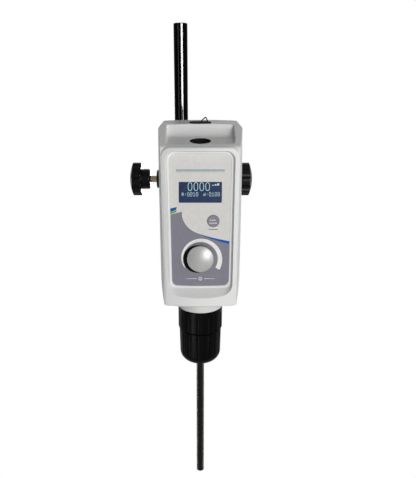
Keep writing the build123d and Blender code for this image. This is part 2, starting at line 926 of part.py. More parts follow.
# ================================================================ control panel pieces
def make_control_panel():
    """The thin printed membrane that lies in the recess inside the bead."""
    sheet = extrude(on_panel(0, 0, panel_depth) * panel_outline(-contact_gap), panel_thickness)
    back = panel_depth + overcut
    deep = panel_thickness + 2 * overcut
    window = RectangleRounded(display_width, display_height, display_round)
    sheet -= extrude(on_panel(0, display_centre, back) * window, deep)
    sheet -= on_panel(button_across, button_height, back) * rod(button_radius + moving_gap, 0, deep)
    sheet -= on_panel(0, knob_height, back) * rod(encoder_bush_radius, 0, deep)
    return sheet


window_back = panel_depth - window_step + window_thickness
module_front = window_back + contact_gap
inner_face = panel_depth + wall
display_board_front = inner_face + display_board_gap


def make_display_window():
    gap = 2 * contact_gap
    pane = RectangleRounded(display_width - gap, display_height - gap, display_round)
    return extrude(on_panel(0, display_centre, window_back) * pane, window_thickness)


def make_display_module():
    """The display behind the window, with a rim that is held between the wall and its board."""
    glass = RectangleRounded(display_width - 4 * contact_gap, display_height - 4 * contact_gap, display_round)
    frame = RectangleRounded(
        display_width + 2 * module_border, display_height + 2 * module_border, display_round * 2
    )
    seat = on_panel(0, display_centre, display_board_front)
    front = extrude(seat * glass, display_board_front - module_front)
    return front + extrude(seat * frame, display_board_front - inner_face - contact_gap)


def panel_standoffs(width, height, centre, board_front):
    """Posts behind the panel's wall that carry a board at its four corners."""
    posts = []
    for x in (-1, 1):
        for y in (-1, 1):
            across = x * (width / 2 - standoff_inset)
            up = centre + y * (height / 2 - standoff_inset)
            length = board_front - panel_depth - overlap
            posts.append(on_panel(across, up, board_front) * rod(standoff_radius, 0, length))
    return posts


def board_part(place, size, face):
    """A block-shaped part soldered to a board's front."""
    return extrude(on_panel(*place, face) * Rectangle(*size[:2]), size[2])


def make_display_board():
    board = RectangleRounded(display_board_width, display_board_height, board_corner_round)
    face = display_board_front + contact_gap
    solid = extrude(on_panel(0, display_board_centre, face + board_thickness) * board, board_thickness)
    return solid + board_part(display_chip_place, display_chip_size, face)


button_front = panel_depth - panel_thickness - button_proud
button_back = inner_face + contact_gap + button_flange_thickness


def make_mode_switch():
    """The small dome switch under the mode button."""
    height = display_board_front - button_back - button_travel - contact_gap
    square = Rectangle(switch_size, switch_size)
    return extrude(on_panel(button_across, button_height, display_board_front) * square, height)


def make_mode_button():
    length = button_back - button_front
    button = rod(button_radius, 0, length)
    button = fillet(button.edges().sort_by(Axis.Z)[-1], button_edge_round)
    button += rod(button_flange_radius, 0, button_flange_thickness)
    return on_panel(button_across, button_height, button_back) * button


def on_knob(solid, depth=0.0):
    """Places a solid built along +Z on the control knob's axis, z = 0 at the panel's face."""
    return on_panel(0, knob_height, panel_depth + depth) * solid


knob_foot = panel_thickness + knob_push_travel + moving_gap
knob_cap_base = knob_proud - knob_cap_dome - knob_cap_thickness
encoder_back = -(wall + contact_gap + encoder_body_depth)
encoder_pocket = -wall - encoder_pocket_depth
encoder_bush_top = knob_foot - encoder_bush_step
encoder_spindle_top = knob_cap_base - knob_spindle_gap
plunger_low = encoder_pocket + knob_push_travel + contact_gap
plunger_high = plunger_low + plunger_head_thickness


def make_encoder_body():
    """The encoder's square body behind the panel and its bush through the panel."""
    half = encoder_body_size / 2
    bore = encoder_spindle_radius + running_clearance
    body = block((-half, half), (-half, half), (encoder_back, -wall - contact_gap))
    bush = encoder_bush_radius - contact_gap
    body += rod(bush, -wall - overlap, encoder_bush_top)
    body -= rod(bore, encoder_pocket, knob_foot)
    body -= rod(encoder_plunger_radius + running_clearance, encoder_back - overcut, encoder_pocket + overcut)
    return on_knob(body)


def make_encoder_plunger():
    """The push switch's pin inside the encoder, which travels when the knob is pressed."""
    head = rod(encoder_spindle_radius - plunger_gap, plunger_low, plunger_high)
    pin = rod(encoder_plunger_radius, encoder_back + knob_push_travel + contact_gap, plunger_high)
    return on_knob(pin + head)


def make_encoder_spindle():
    return on_knob(rod(encoder_spindle_radius, plunger_high + contact_gap, encoder_spindle_top))


def make_knob_skirt():
    """The black fluted grip under the cap, pushed on the encoder's spindle."""
    foot = (knob_skirt_foot_radius, knob_foot)
    top = (knob_skirt_radius, knob_cap_base)
    skirt = turned([(0, knob_foot), foot, top, (0, knob_cap_base)])
    flute = rod(knob_flute_radius, knob_foot - overcut, knob_cap_base + overcut)
    for cut in ring_of(knob_flute_count, knob_skirt_foot_radius, flute):
        skirt -= cut
    skirt -= rod(encoder_spindle_radius, 0, encoder_spindle_top)
    bush_clear = encoder_bush_top + knob_push_travel + moving_gap
    skirt -= rod(encoder_bush_radius + moving_gap, 0, bush_clear)
    return on_knob(skirt)


def make_knob_cap():
    """The silver domed cap."""
    cap = rod(knob_cap_radius, knob_cap_base, knob_proud)
    dome_radius = (knob_cap_radius**2 + knob_cap_dome**2) / (2 * knob_cap_dome)
    cap &= Pos(0, 0, knob_proud - dome_radius) * Sphere(dome_radius)
    cap = fillet(cap.edges().sort_by(SortBy.LENGTH)[-1], knob_cap_round)
    return on_knob(cap)


control_board_front = panel_depth - encoder_back


def make_control_board():
    board = RectangleRounded(control_board_width, control_board_height, board_corner_round)
    face = control_board_front + contact_gap
    solid = extrude(on_panel(0, control_board_centre, face + board_thickness) * board, board_thickness)
    chip = board_part(control_chip_place, control_chip_size, face)
    return solid + chip + board_part(control_plug_place, control_plug_size, face)


# ================================================================ boss, bearings and spindle
seal_low = boss_lip - boss_length


def make_boss():
    """The round bearing housing under the head."""
    boss = rod(boss_radius, -boss_length, 0)
    boss = fillet(boss.edges().sort_by(Axis.Z)[0], boss_edge_round)
    boss += rod(boss_spigot_radius, -overlap, wall)
    boss -= rod(lower_bearing_radius, wall - lower_bearing_width, wall + overcut)
    boss -= rod(seal_radius, seal_low, wall)
    boss -= rod(spindle_radius + boss_bore_gap, -boss_length - overcut, wall)
    return boss


def make_bearing(outer, width, base):
    """A shielded ball bearing: two rings with the shield lying just below their faces."""
    bore = spindle_radius + running_clearance
    ring = (outer - bore) * bearing_ring_share
    top = base + width
    bearing = tube(outer, bore, base, top)
    bearing -= tube(outer - ring, bore + ring, base - overcut, base + bearing_groove_depth)
    bearing -= tube(outer - ring, bore + ring, top - bearing_groove_depth, top + overcut)
    return bearing


def make_seal():
    return tube(seal_radius, spindle_radius + running_clearance, seal_low, seal_low + seal_thickness)


def make_spindle():
    """The hollow spindle: a shaft can pass up through it and out of the top."""
    low = -boss_length - chuck_gap_under_boss - spindle_in_chuck
    high = scoop_floor_height - spindle_below_outlet
    spindle = tube(spindle_radius, spindle_bore_radius, low, high)
    return chamfer(spindle.edges().sort_by(Axis.Z)[-2:], spindle_end_chamfer)


def make_retainer():
    """The clip on the spindle under the upper bearing."""
    top = upper_bearing_floor - contact_gap
    return tube(retainer_radius, spindle_radius, top - retainer_thickness, top)


# ================================================================ gears
def gear_outline(teeth):
    """A spur gear's outline with involute flanks, thinned by half the backlash."""
    pitch = gear_module * teeth / 2
    base = pitch * math.cos(math.radians(pressure_angle))
    tip = pitch + gear_module
    root = pitch - dedendum * gear_module
    half_tooth = math.pi / (2 * teeth) - gear_backlash / (4 * pitch)
    alpha = math.radians(pressure_angle)
    widest = half_tooth + math.tan(alpha) - alpha

    def flank_angle(r):
        if r <= base:
            return widest
        a = math.acos(base / r)
        return widest - math.tan(a) + a

    start = max(base, root + flank_start)
    radii = [root, start, (start + tip) / 2, tip]
    points = []
    for i in range(teeth):
        middle = 2 * math.pi * i / teeth
        for r in radii:
            angle = middle - flank_angle(r)
            points.append((r * math.cos(angle), r * math.sin(angle)))
        for r in reversed(radii):
            angle = middle + flank_angle(r)
            points.append((r * math.cos(angle), r * math.sin(angle)))
    return make_face(Polyline(*points, close=True))


gear_low = wall + gear_above_floor
gear_high = gear_low + gear_width
motor_reach = gear_module * (spindle_gear_teeth + pinion_teeth) / 2


def make_spindle_gear():
    gear = Pos(0, 0, gear_low) * extrude(gear_outline(spindle_gear_teeth), gear_width)
    root = gear_module * spindle_gear_teeth / 2 - gear_rim_depth
    recess_depth = (gear_width - gear_web_thickness) / 2
    gear -= tube(root, gear_hub_radius, gear_low - overcut, gear_low + recess_depth)
    gear -= tube(root, gear_hub_radius, gear_high - recess_depth, gear_high + overcut)
    hole = rod(gear_hole_radius, gear_low - overcut, gear_high + overcut)
    for cut in ring_of(gear_hole_count, (root + gear_hub_radius) / 2, hole):
        gear -= cut
    gear -= rod(spindle_radius, gear_low - overcut, gear_high + overcut)
    # half a tooth turned, so that a gap faces the pinion's tooth
    return Rot(0, 0, 90 + 180.0 / spindle_gear_teeth) * gear


def make_pinion():
    gear = Pos(0, 0, gear_low) * extrude(gear_outline(pinion_teeth), gear_width)
    gear -= rod(motor_shaft_radius, gear_low - overcut, gear_high + overcut)
    return motor_at(Rot(0, 0, -90) * gear)


# ================================================================ drive frame and motor
frame_low = gear_high + frame_gear_gap
frame_high = frame_low + frame_plate_thickness
motor_low = frame_high
motor_high = motor_low + motor_length


def make_drive_frame():
    """The plate over the gears that carries the motor, on four posts from the floor."""
    middle = (frame_front + frame_rear) / 2
    half = (frame_half_width, (frame_rear - frame_front) / 2)
    sheet = RectangleRounded(half[0] * 2, half[1] * 2, frame_corner_round)
    plate = Pos(0, middle, frame_low) * extrude(sheet, frame_plate_thickness)
    post = rod(frame_post_radius, wall, frame_low + overlap)
    for x in (-1, 1):
        for y in (frame_front + frame_post_inset, frame_rear - frame_post_inset):
            plate += Pos(x * (half[0] - frame_post_inset), y, 0) * post
    plate -= rod(spindle_radius + frame_spindle_gap, frame_low - overcut, frame_high + overcut)
    plate -= motor_at(rod(motor_bearing_radius, frame_low - overcut, frame_high + overcut))
    return plate


def motor_at(solid):
    return Pos(0, motor_reach, 0) * solid


def make_motor_case():
    """The motor's can with its two end caps."""
    can_radius = motor_radius - motor_wall
    end = motor_high - motor_end_wall
    case = rod(motor_radius, motor_low, motor_high)
    case = chamfer(case.edges().filter_by(GeomType.CIRCLE), motor_edge_chamfer)
    case -= rod(can_radius, motor_low + motor_cap_thickness, motor_high - motor_cap_thickness)
    case -= rod(motor_bearing_radius, motor_low - overcut, motor_low + motor_bearing_width)
    case -= rod(motor_bearing_radius, motor_high - motor_bearing_width, end)
    case -= rod(motor_shaft_radius + motor_shaft_gap, motor_low - overcut, end)
    return motor_at(case)


def make_motor_bearings():
    bore = motor_shaft_radius + running_clearance
    ends = (
        (motor_low, motor_low + motor_bearing_width),
        (motor_high - motor_bearing_width, motor_high - motor_end_wall),
    )
    return Compound([motor_at(tube(motor_bearing_radius, bore, low, high)) for low, high in ends])


stator_low = motor_low + (motor_length - stator_length) / 2


def make_stator():
    """The wound ring: a laminated core with inward teeth."""
    outer = motor_radius - motor_wall
    inner = outer - stator_thickness
    core = tube(outer, inner, stator_low, stator_low + stator_length)
    slot = rod(stator_slot_radius, stator_low - overcut, stator_low + stator_length + overcut)
    for cut in ring_of(stator_slots, inner + stator_slot_reach, slot):
        core -= cut
    return motor_at(core)


def make_motor_shaft():
    top = motor_high - motor_end_wall - motor_shaft_end_gap
    return motor_at(rod(motor_shaft_radius, gear_low, top, motor_shaft_chamfer))


def make_rotor():
    low = motor_low + (motor_length - rotor_length) / 2
    return motor_at(tube(rotor_radius, motor_shaft_radius, low, low + rotor_length))


# ================================================================ keyless chuck, z measured from the nose
chuck_top = -boss_length - chuck_gap_under_boss
chuck_nose = chuck_top - chuck_length
seam_top = chuck_length - rear_sleeve_length
front_sleeve_top = seam_top - sleeve_gap
jaw_slope = math.tan(math.radians(jaw_angle))
nut_top = nut_above_nose + nut_height
nut_outer_radius = front_sleeve_foot_radius - sleeve_wall


def chuck_at(solid):
    return Pos(0, 0, chuck_nose) * solid


def jaw_axis_radius(z):
    """Distance of a jaw's axis from the chuck's axis at a height over the nose."""
    return shaft_radius + contact_gap + jaw_inset_at_nose + z * jaw_slope


def fluted(sleeve, radius, low, high):
    """Cuts broad shallow flutes between two heights."""
    cutter = rod(flute_radius, low, high)
    ends = cutter.edges().filter_by(GeomType.CIRCLE)
    cutter = fillet(ends, flute_end_round)
    for cut in ring_of(flute_count, radius + flute_radius - flute_depth, cutter):
        sleeve -= cut
    return sleeve


def make_rear_sleeve():
    """The fixed sleeve: fluted, with a plain collar at the top."""
    inner = chuck_core_radius
    outer = rear_sleeve_radius
    sleeve = turned(
        [
            (inner, seam_top),
            (outer - rear_sleeve_chamfer, seam_top),
            (outer, seam_top + rear_sleeve_chamfer),
            (outer, chuck_length - rear_sleeve_top_chamfer),
            (outer - rear_sleeve_top_chamfer, chuck_length),
            (inner, chuck_length),
        ]
    )
    return chuck_at(fluted(sleeve, outer, seam_top - flute_run_out, chuck_length - rear_sleeve_collar))


def make_front_sleeve():
    """The turning sleeve, rounded in to the nose."""
    start = chuck_length - front_sleeve_round_start
    shoulder = (front_sleeve_radius, front_sleeve_top)
    foot = (front_sleeve_foot_radius, start)
    lip = (chuck_lip_radius, chuck_nose_land)
    middle = ((foot[0] + lip[0]) / 2 + nose_arc_out, (foot[1] + lip[1]) / 2 - nose_arc_down)
    core_gap = chuck_core_radius + moving_gap
    inside = [
        (core_gap, front_sleeve_top),
        (core_gap, nut_top),
        (nut_outer_radius, nut_top),
        (nut_outer_radius, nut_above_nose),
        (core_cone_radius + moving_gap, core_cone_top),
        (chuck_nose_radius + moving_gap, chuck_nose_land),
    ]
    edges = [Line(a, b) for a, b in zip(inside[:-1], inside[1:])]
    edges += [Line(inside[-1], lip), ThreePointArc(lip, middle, foot), Line(foot, shoulder)]
    edges.append(Line(shoulder, inside[0]))
    sleeve = revolve(Plane.XZ.location * make_face(Curve() + edges), Axis.Z)
    middle_radius = (front_sleeve_radius + front_sleeve_foot_radius) / 2
    return chuck_at(fluted(sleeve, middle_radius, flute_low, front_sleeve_top - flute_end_gap))


def make_chuck_core():
    """The steel core that holds the three jaws, screwed on the hollow spindle."""
    groove_low = nut_above_nose - nut_groove_gap
    groove_high = nut_top + nut_groove_gap
    socket_low = chuck_length - spindle_in_chuck
    core = turned(
        [
            (spindle_bore_radius, 0),
            (chuck_nose_radius, 0),
            (chuck_nose_radius, chuck_nose_land),
            (core_cone_radius, core_cone_top),
            (core_cone_radius, groove_low),
            (chuck_groove_radius, groove_low),
            (chuck_groove_radius, groove_high),
            (chuck_core_radius, groove_high),
            (chuck_core_radius, chuck_length),
            (spindle_radius, chuck_length),
            (spindle_radius, socket_low),
            (spindle_bore_radius, socket_low),
        ]
    )
    for hole in jaw_set(jaw_radius + jaw_bore_clearance, jaw_start, jaw_length + jaw_travel + jaw_end_room):
        core -= hole
    return chuck_at(core)


def jaw_turn(i):
    """The direction in which a jaw leans out, the first one to the rear."""
    return 90.0 + i * 360.0 / jaw_count


def jaw_set(radius, start, end):
    """Round bars on the jaws' three inclined axes, start and end measured along them."""
    bars = []
    for i in range(jaw_count):
        bar = Rot(0, jaw_angle, 0) * rod(radius, start, end)
        bars.append(Rot(0, 0, jaw_turn(i)) * Pos(jaw_axis_radius(0), 0, 0) * bar)
    return bars


def make_jaws():
    """Each jaw is a round bar cut to a flat that lies along the shaft, with a wedge-shaped nose."""
    face = shaft_radius + contact_gap
    wide = chuck_length * math.tan(math.radians(jaw_wedge_half_angle))
    sector = make_face(Polyline((0, 0), (chuck_length, wide), (chuck_length, -wide), close=True))
    wedge = extrude(sector, chuck_length)
    keep = wedge & block((face, chuck_length), (-wide, wide), (jaw_above_nose, chuck_length))
    for k in range(jaw_tooth_count):
        z = jaw_tooth_low + k * jaw_tooth_pitch
        groove = Box(2 * jaw_tooth_depth, 2 * jaw_radius + overcut, 2 * jaw_tooth_depth)
        keep -= Pos(jaw_axis_radius(z) + jaw_radius, 0, z) * Rot(0, jaw_angle, 0) * groove
    bars = jaw_set(jaw_radius, jaw_start, jaw_length)
    return [chuck_at(bar & (Rot(0, 0, jaw_turn(i)) * keep)) for i, bar in enumerate(bars)]


def make_nut():
    """The ring in the front sleeve that drives the jaws' outer teeth."""
    jaw_back = jaw_radius / math.cos(math.radians(jaw_angle))
    low = jaw_axis_radius(nut_above_nose) + jaw_back + nut_clearance
    high = low + nut_height * jaw_slope
    outer = nut_outer_radius
    section = [(low, nut_above_nose), (outer, nut_above_nose), (outer, nut_top), (high, nut_top)]
    return chuck_at(turned(section))


# ================================================================ stirring shaft
shaft_low = chuck_nose - shaft_free_length


def make_shaft():
    return rod(shaft_radius, shaft_low, shaft_low + shaft_length, shaft_end_chamfer)


# ================================================================ cap, rocker, jack, power board
cap_top = cap_seat + cap_seat_depth + cap_thickness


def make_cap():
    """The rubber cap of the shaft outlet, parked in its socket on the top face."""
    stem = rod(cap_stem_radius, cap_seat - cap_stem_length, cap_seat + overlap)
    disc = rod(cap_radius, cap_seat + contact_gap, cap_top)
    disc = fillet(disc.edges().sort_by(Axis.Z)[-1], cap_edge_round)
    return Pos(0, cap_reach, 0) * (stem + disc + make_cap_loop())


def make_cap_loop():
    """The thin pull loop moulded on the cap."""
    base = cap_top - cap_loop_root
    start = (-cap_loop_width / 2, base)
    peak = (cap_loop_width * cap_loop_peak, base + cap_loop_height)
    end = (cap_loop_width / 2, base)
    path = Plane.XZ.location * FilletPolyline(start, peak, end, radius=cap_loop_round)
    wire = sweep(Plane(path @ 0, z_dir=path % 0) * Circle(cap_loop_wire), path)
    return Pos(cap_loop_offset, 0, 0) * wire


def rear_at(across, height, solid):
    """Places a solid built along +Z so that it runs back through the rear wall."""
    return Pos(across, 0, height) * Rot(-90, 0, 0) * solid


rocker_face = rear_reach + rocker_flange_thickness - rocker_sunk
rocker_pivot_reach = rocker_face - rocker_pivot_depth


def rocker_pivot(radius, half_length):
    """The rocker's pivot axis across the frame."""
    return Pos(0, rocker_pivot_reach, 0) * Rot(0, 90, 0) * rod(radius, -half_length, half_length)


def make_rocker_frame():
    """The rocker's flanged frame in the rear wall, with a well for the paddle and holes for its pins."""
    wide = (rocker_width, rocker_tall)
    flange = Rectangle(*[side + 2 * rocker_flange for side in wide])
    neck = Rectangle(*[side - 2 * rocker_neck_gap for side in wide])
    well = Rectangle(*[side - 2 * rocker_rim for side in wide])
    frame = Pos(0, 0, rear_reach + contact_gap) * extrude(flange, rocker_flange_thickness - contact_gap)
    frame += Pos(0, 0, rear_reach - rocker_depth) * extrude(neck, rocker_depth + overlap)
    frame -= Pos(0, 0, rear_reach - rocker_well_depth) * extrude(well, cutter_size)
    frame = Rot(-90, 0, 0) * frame
    frame -= rocker_pivot(rocker_pivot_radius + running_clearance, rocker_width / 2)
    return Pos(rocker_across, 0, rocker_height) * frame


def make_rocker():
    """The rocker paddle with its pivot pins; its upper half stands out at rest."""
    half = rocker_tall / 2 - rocker_rim - rocker_end_gap
    foot = rocker_face - rocker_body_depth
    points = [
        (rocker_face - half * math.tan(math.radians(rocker_dip)), -half),
        (rocker_face, 0),
        (rocker_face + half * math.tan(math.radians(rocker_throw + rocker_dip)), half),
        (foot + rocker_body_taper, half * rocker_foot_share),
        (foot, 0),
        (foot + rocker_body_taper, -half * rocker_foot_share),
    ]
    inside = rocker_width / 2 - rocker_rim
    face = Plane.YZ.location * make_face(Polyline(*points, close=True))
    paddle = extrude(face, inside - moving_gap, both=True)
    paddle += rocker_pivot(rocker_pivot_radius, inside + rocker_pivot_grip)
    return Pos(rocker_across, 0, rocker_height) * paddle


def make_power_jack():
    """The low-voltage inlet: a round socket with a centre pin."""
    top = rear_reach + jack_flange_thickness
    body = rod(jack_radius - contact_gap, rear_reach - jack_depth, top)
    body += rod(jack_flange_radius, rear_reach + contact_gap, top)
    body -= rod(jack_bore_radius, top - jack_bore_depth, top + overcut)
    body += rod(jack_pin_radius, top - jack_bore_depth - overlap, top - jack_pin_sunk)
    return rear_at(jack_across, rocker_height, body)


power_board_back = rear_reach - wall - power_board_to_wall
power_board_y = power_board_back - board_thickness


def make_power_board():
    half = power_board_width / 2
    tall = (power_board_bottom, power_board_bottom + power_board_height)
    return block((-half, half), (power_board_y, power_board_back), tall)


def make_power_parts():
    """The tall parts on the power board: transformer, two capacitors and a finned heat sink."""
    y = power_board_y - contact_gap
    half = heat_sink_width / 2
    low = power_board_bottom + transformer_up_board
    wide = (-half, transformer_size - half)
    parts = [block(wide, (y - transformer_depth, y), (low, low + transformer_size))]
    can = rod(capacitor_radius, y - capacitor_length, y)
    for x in capacitor_places:
        parts.append(rear_at(x, power_board_bottom + capacitor_up_board, can))
    low = power_board_bottom + heat_sink_up_board
    tall = (low, low + heat_sink_height)
    sink = block((-half, half), (y - heat_sink_base, y), tall)
    pitch = (heat_sink_width - heat_sink_fin_thickness) / (heat_sink_fins - 1)
    for i in range(heat_sink_fins):
        x = -half + i * pitch
        sink += block((x, x + heat_sink_fin_thickness), (y - heat_sink_depth, y - overlap), tall)
    parts.append(sink)
    return Compound(parts)


# ================================================================ assembly
def build():
    parts = {}
    parts["mast_foot_stud"] = make_foot_stud()
    parts["mast_rod"] = make_mast()
    parts["clamp_body"] = make_clamp_body()
    for name, side, rod_r in (("left", -1, mast_radius), ("right", 1, bar_radius)):
        parts[f"{name}_clamp_pad"] = make_pad(side, rod_r)
        parts[f"{name}_clamp_screw"] = make_clamp_screw(side, rod_r)
        parts[f"{name}_star_knob"] = make_star_knob(side)

    head = {}
    head["extension_bar"] = make_bar()
    head["bar_flange"] = make_bar_flange()
    head["bar_flange_screws"] = make_bar_screws()
    head["front_shell"], head["rear_shell"] = make_shells()
    head["shell_screws"] = make_shell_screws()
    head["control_panel"] = make_control_panel()
    head["display_window"] = make_display_window()
    head["display_module"] = make_display_module()
    head["display_board"] = make_display_board()
    head["mode_switch"] = make_mode_switch()
    head["mode_button"] = make_mode_button()
    head["encoder_body"] = make_encoder_body()
    head["encoder_plunger"] = make_encoder_plunger()
    head["encoder_spindle"] = make_encoder_spindle()
    head["knob_skirt"] = make_knob_skirt()
    head["knob_cap"] = make_knob_cap()
    head["control_board"] = make_control_board()
    head["spindle_boss"] = make_boss()
    lower_bearing_floor = wall - lower_bearing_width
    head["lower_bearing"] = make_bearing(lower_bearing_radius, lower_bearing_width, lower_bearing_floor)
    head["upper_bearing"] = make_bearing(upper_bearing_radius, upper_bearing_width, upper_bearing_floor)
    head["spindle_seal"] = make_seal()
    head["hollow_spindle"] = make_spindle()
    head["spindle_retainer"] = make_retainer()
    head["spindle_gear"] = make_spindle_gear()
    head["motor_pinion"] = make_pinion()
    head["drive_frame"] = make_drive_frame()
    head["motor_case"] = make_motor_case()
    head["motor_bearings"] = make_motor_bearings()
    head["motor_stator"] = make_stator()
    head["motor_shaft"] = make_motor_shaft()
    head["motor_rotor"] = make_rotor()
    head["chuck_core"] = make_chuck_core()
    head["chuck_rear_sleeve"] = make_rear_sleeve()
    head["chuck_front_sleeve"] = make_front_sleeve()
    head["chuck_nut"] = make_nut()
    for i, jaw in enumerate(make_jaws()):
        head[f"chuck_jaw_{i + 1}"] = jaw
    head["stirring_shaft"] = make_shaft()
    head["outlet_cap"] = make_cap()
    head["rocker_frame"] = make_rocker_frame()
    head["power_rocker"] = make_rocker()
    head["power_jack"] = make_power_jack()
    head["power_board"] = make_power_board()
    head["power_parts"] = make_power_parts()
    for name, solid in head.items():
        parts[name] = HEAD * solid
    return parts


def main():
    os.makedirs("parts", exist_ok=True)
    for name, solid in build().items():
        export_step(solid, f"parts/{name}.step")
        print(name, round(solid.volume, 1))


main()
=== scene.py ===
"""Looks and studio for the overhead stirrer: materials, panel print, display figures, lights and camera."""

import json
import math

import bmesh
import bpy
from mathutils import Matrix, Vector


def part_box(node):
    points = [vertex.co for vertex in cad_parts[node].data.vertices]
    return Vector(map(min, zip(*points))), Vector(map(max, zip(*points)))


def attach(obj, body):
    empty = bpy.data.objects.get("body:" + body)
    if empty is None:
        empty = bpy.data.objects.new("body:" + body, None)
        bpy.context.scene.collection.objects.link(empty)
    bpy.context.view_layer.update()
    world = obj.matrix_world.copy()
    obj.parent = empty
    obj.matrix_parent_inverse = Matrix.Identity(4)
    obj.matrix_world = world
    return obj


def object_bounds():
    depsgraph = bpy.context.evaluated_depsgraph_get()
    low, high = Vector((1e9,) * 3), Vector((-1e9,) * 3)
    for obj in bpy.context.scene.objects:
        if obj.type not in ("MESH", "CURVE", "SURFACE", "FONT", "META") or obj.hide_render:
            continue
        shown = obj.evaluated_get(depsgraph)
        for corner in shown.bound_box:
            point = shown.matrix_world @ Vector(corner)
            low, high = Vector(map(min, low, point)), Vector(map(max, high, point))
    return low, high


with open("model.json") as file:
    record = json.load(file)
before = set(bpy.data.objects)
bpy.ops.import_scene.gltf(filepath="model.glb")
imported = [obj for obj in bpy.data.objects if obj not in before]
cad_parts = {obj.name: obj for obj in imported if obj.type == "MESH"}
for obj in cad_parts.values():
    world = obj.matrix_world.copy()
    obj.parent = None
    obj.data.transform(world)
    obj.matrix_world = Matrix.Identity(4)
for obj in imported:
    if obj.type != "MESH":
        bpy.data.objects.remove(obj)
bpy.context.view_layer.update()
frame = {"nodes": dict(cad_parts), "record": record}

# ---------------------------------------------------------------- sizes, in millimetres
# one millimetre, in metres
MM = 0.001
FRONT_REACH = 36.0
BEZEL_LEAN = math.radians(5.95)
PANEL_FACE_DEPTH = 7.5
PANEL_BOTTOM = 19.0
PANEL_TOP = 138.6
PANEL_HALF_BOTTOM = 26.0
PANEL_HALF_TOP = 27.7
PANEL_CORNER = 4.3
PANEL_BULGE = 0.8
PRINT_MARGIN = 0.25
INK = 0.03
INK_STEP = 0.04
WINDOW_FACE = -0.2
BUTTON_FACE = 0.5
CURVE_STEPS = 18

# the photographed view: names that end in PX are in pixels
FRAME_HEIGHT_PX = 478.0
FRAME_WIDTH_PX = 416.0
FOCAL_PX = 520.0
AXIS_PX = 200.3
CAMERA_BACK = 470.0
CAMERA_UP = 202.5
CAMERA_PITCH = math.radians(17.5)
SENSOR = 24.0
NEAR_CLIP = 10.0

shaft_low, shaft_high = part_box("stirring_shaft")
housing_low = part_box("front_shell")[0]
HEAD = Vector(((shaft_low.x + shaft_high.x) / 2, (shaft_low.y + shaft_high.y) / 2, housing_low.z))


def head_point(x, y, z):
    """A place in the head's own frame, in millimetres, as a world point in metres."""
    return HEAD + Vector((x, y, z)) * MM


def on_panel(across, up, proud=0.0):
    """A place on the leaning panel: across it, up it, and out from its printed face."""
    depth = PANEL_FACE_DEPTH - proud
    y = -FRONT_REACH + up * math.sin(BEZEL_LEAN) + depth * math.cos(BEZEL_LEAN)
    z = up * math.cos(BEZEL_LEAN) - depth * math.sin(BEZEL_LEAN)
    return head_point(across, y, z)


# ---------------------------------------------------------------- materials
# the part of a noise texture's range that most of its surface lies in
NOISE_LOW = 0.3
NOISE_HIGH = 0.7
BEVEL_SAMPLES = 6
LACQUER = (0.02, 0.12, 0.05)
LACQUER_GAP = (0.015, 0.10, 0.045)
LACQUER_TRACK = (0.03, 0.17, 0.075)
COPPER = (0.45, 0.13, 0.04)
WIRE_TURNS = (60.0, 60.0, 500.0)
# stretches of a texture: lines along one axis, rings round the upright axis, and a screw's thread
ALONG_X = (30.0, 900.0, 900.0)
ALONG_Y = (900.0, 25.0, 900.0)
ALONG_Z = (900.0, 900.0, 25.0)
RINGS = (40.0, 40.0, 900.0)
THREAD = (1100.0, 60.0, 60.0)


def nodes_of(mat):
    """The material's node list and link list."""
    return mat.node_tree.nodes, mat.node_tree.links


def principled(name, color, roughness, metallic=0.0, specular=0.5, coat=0.0, coat_roughness=0.1):
    """A new material with its main settings on the shader's own sockets."""
    mat = bpy.data.materials.new(name)
    mat.use_nodes = True
    shader = mat.node_tree.nodes["Principled BSDF"]
    shader.inputs["Base Color"].default_value = (*color, 1.0)
    shader.inputs["Roughness"].default_value = roughness
    shader.inputs["Metallic"].default_value = metallic
    shader.inputs["Specular IOR Level"].default_value = specular
    shader.inputs["Coat Weight"].default_value = coat
    shader.inputs["Coat Roughness"].default_value = coat_roughness
    return mat


def coordinates(mat, stretch=(1.0, 1.0, 1.0)):
    """Object coordinates in metres, stretched along an axis for brushed or drawn textures."""
    nodes, links = nodes_of(mat)
    place = nodes.new("ShaderNodeTexCoord")
    mapping = nodes.new("ShaderNodeMapping")
    mapping.inputs["Scale"].default_value = stretch
    links.new(place.outputs["Object"], mapping.inputs["Vector"])
    return mapping.outputs["Vector"]


def noise(mat, scale, detail=4.0, stretch=(1.0, 1.0, 1.0)):
    """A noise texture's value in the object's own coordinates."""
    nodes, links = nodes_of(mat)
    texture = nodes.new("ShaderNodeTexNoise")
    texture.inputs["Scale"].default_value = scale
    texture.inputs["Detail"].default_value = detail
    links.new(coordinates(mat, stretch), texture.inputs["Vector"])
    return texture.outputs["Fac"]


def ramp(mat, factor, stops):
    """A colour ramp from (position, colour) stops."""
    nodes, links = nodes_of(mat)
    node = nodes.new("ShaderNodeValToRGB")
    elements = node.color_ramp.elements
    while len(elements) < len(stops):
        elements.new(0.5)
    for element, (position, color) in zip(elements, stops):
        element.position = position
        element.color = (*color, 1.0)
    links.new(factor, node.inputs["Fac"])
    return node.outputs["Color"]


def vary_color(mat, color, amount, scale, detail=3.0, stretch=(1.0, 1.0, 1.0)):
    """Lets the base colour drift a little lighter and darker over the surface."""
    nodes, links = nodes_of(mat)
    low = tuple(c * (1.0 - amount) for c in color)
    high = tuple(min(1.0, c * (1.0 + amount)) for c in color)
    tint = ramp(mat, noise(mat, scale, detail, stretch), [(NOISE_LOW, low), (NOISE_HIGH, high)])
    links.new(tint, nodes["Principled BSDF"].inputs["Base Color"])


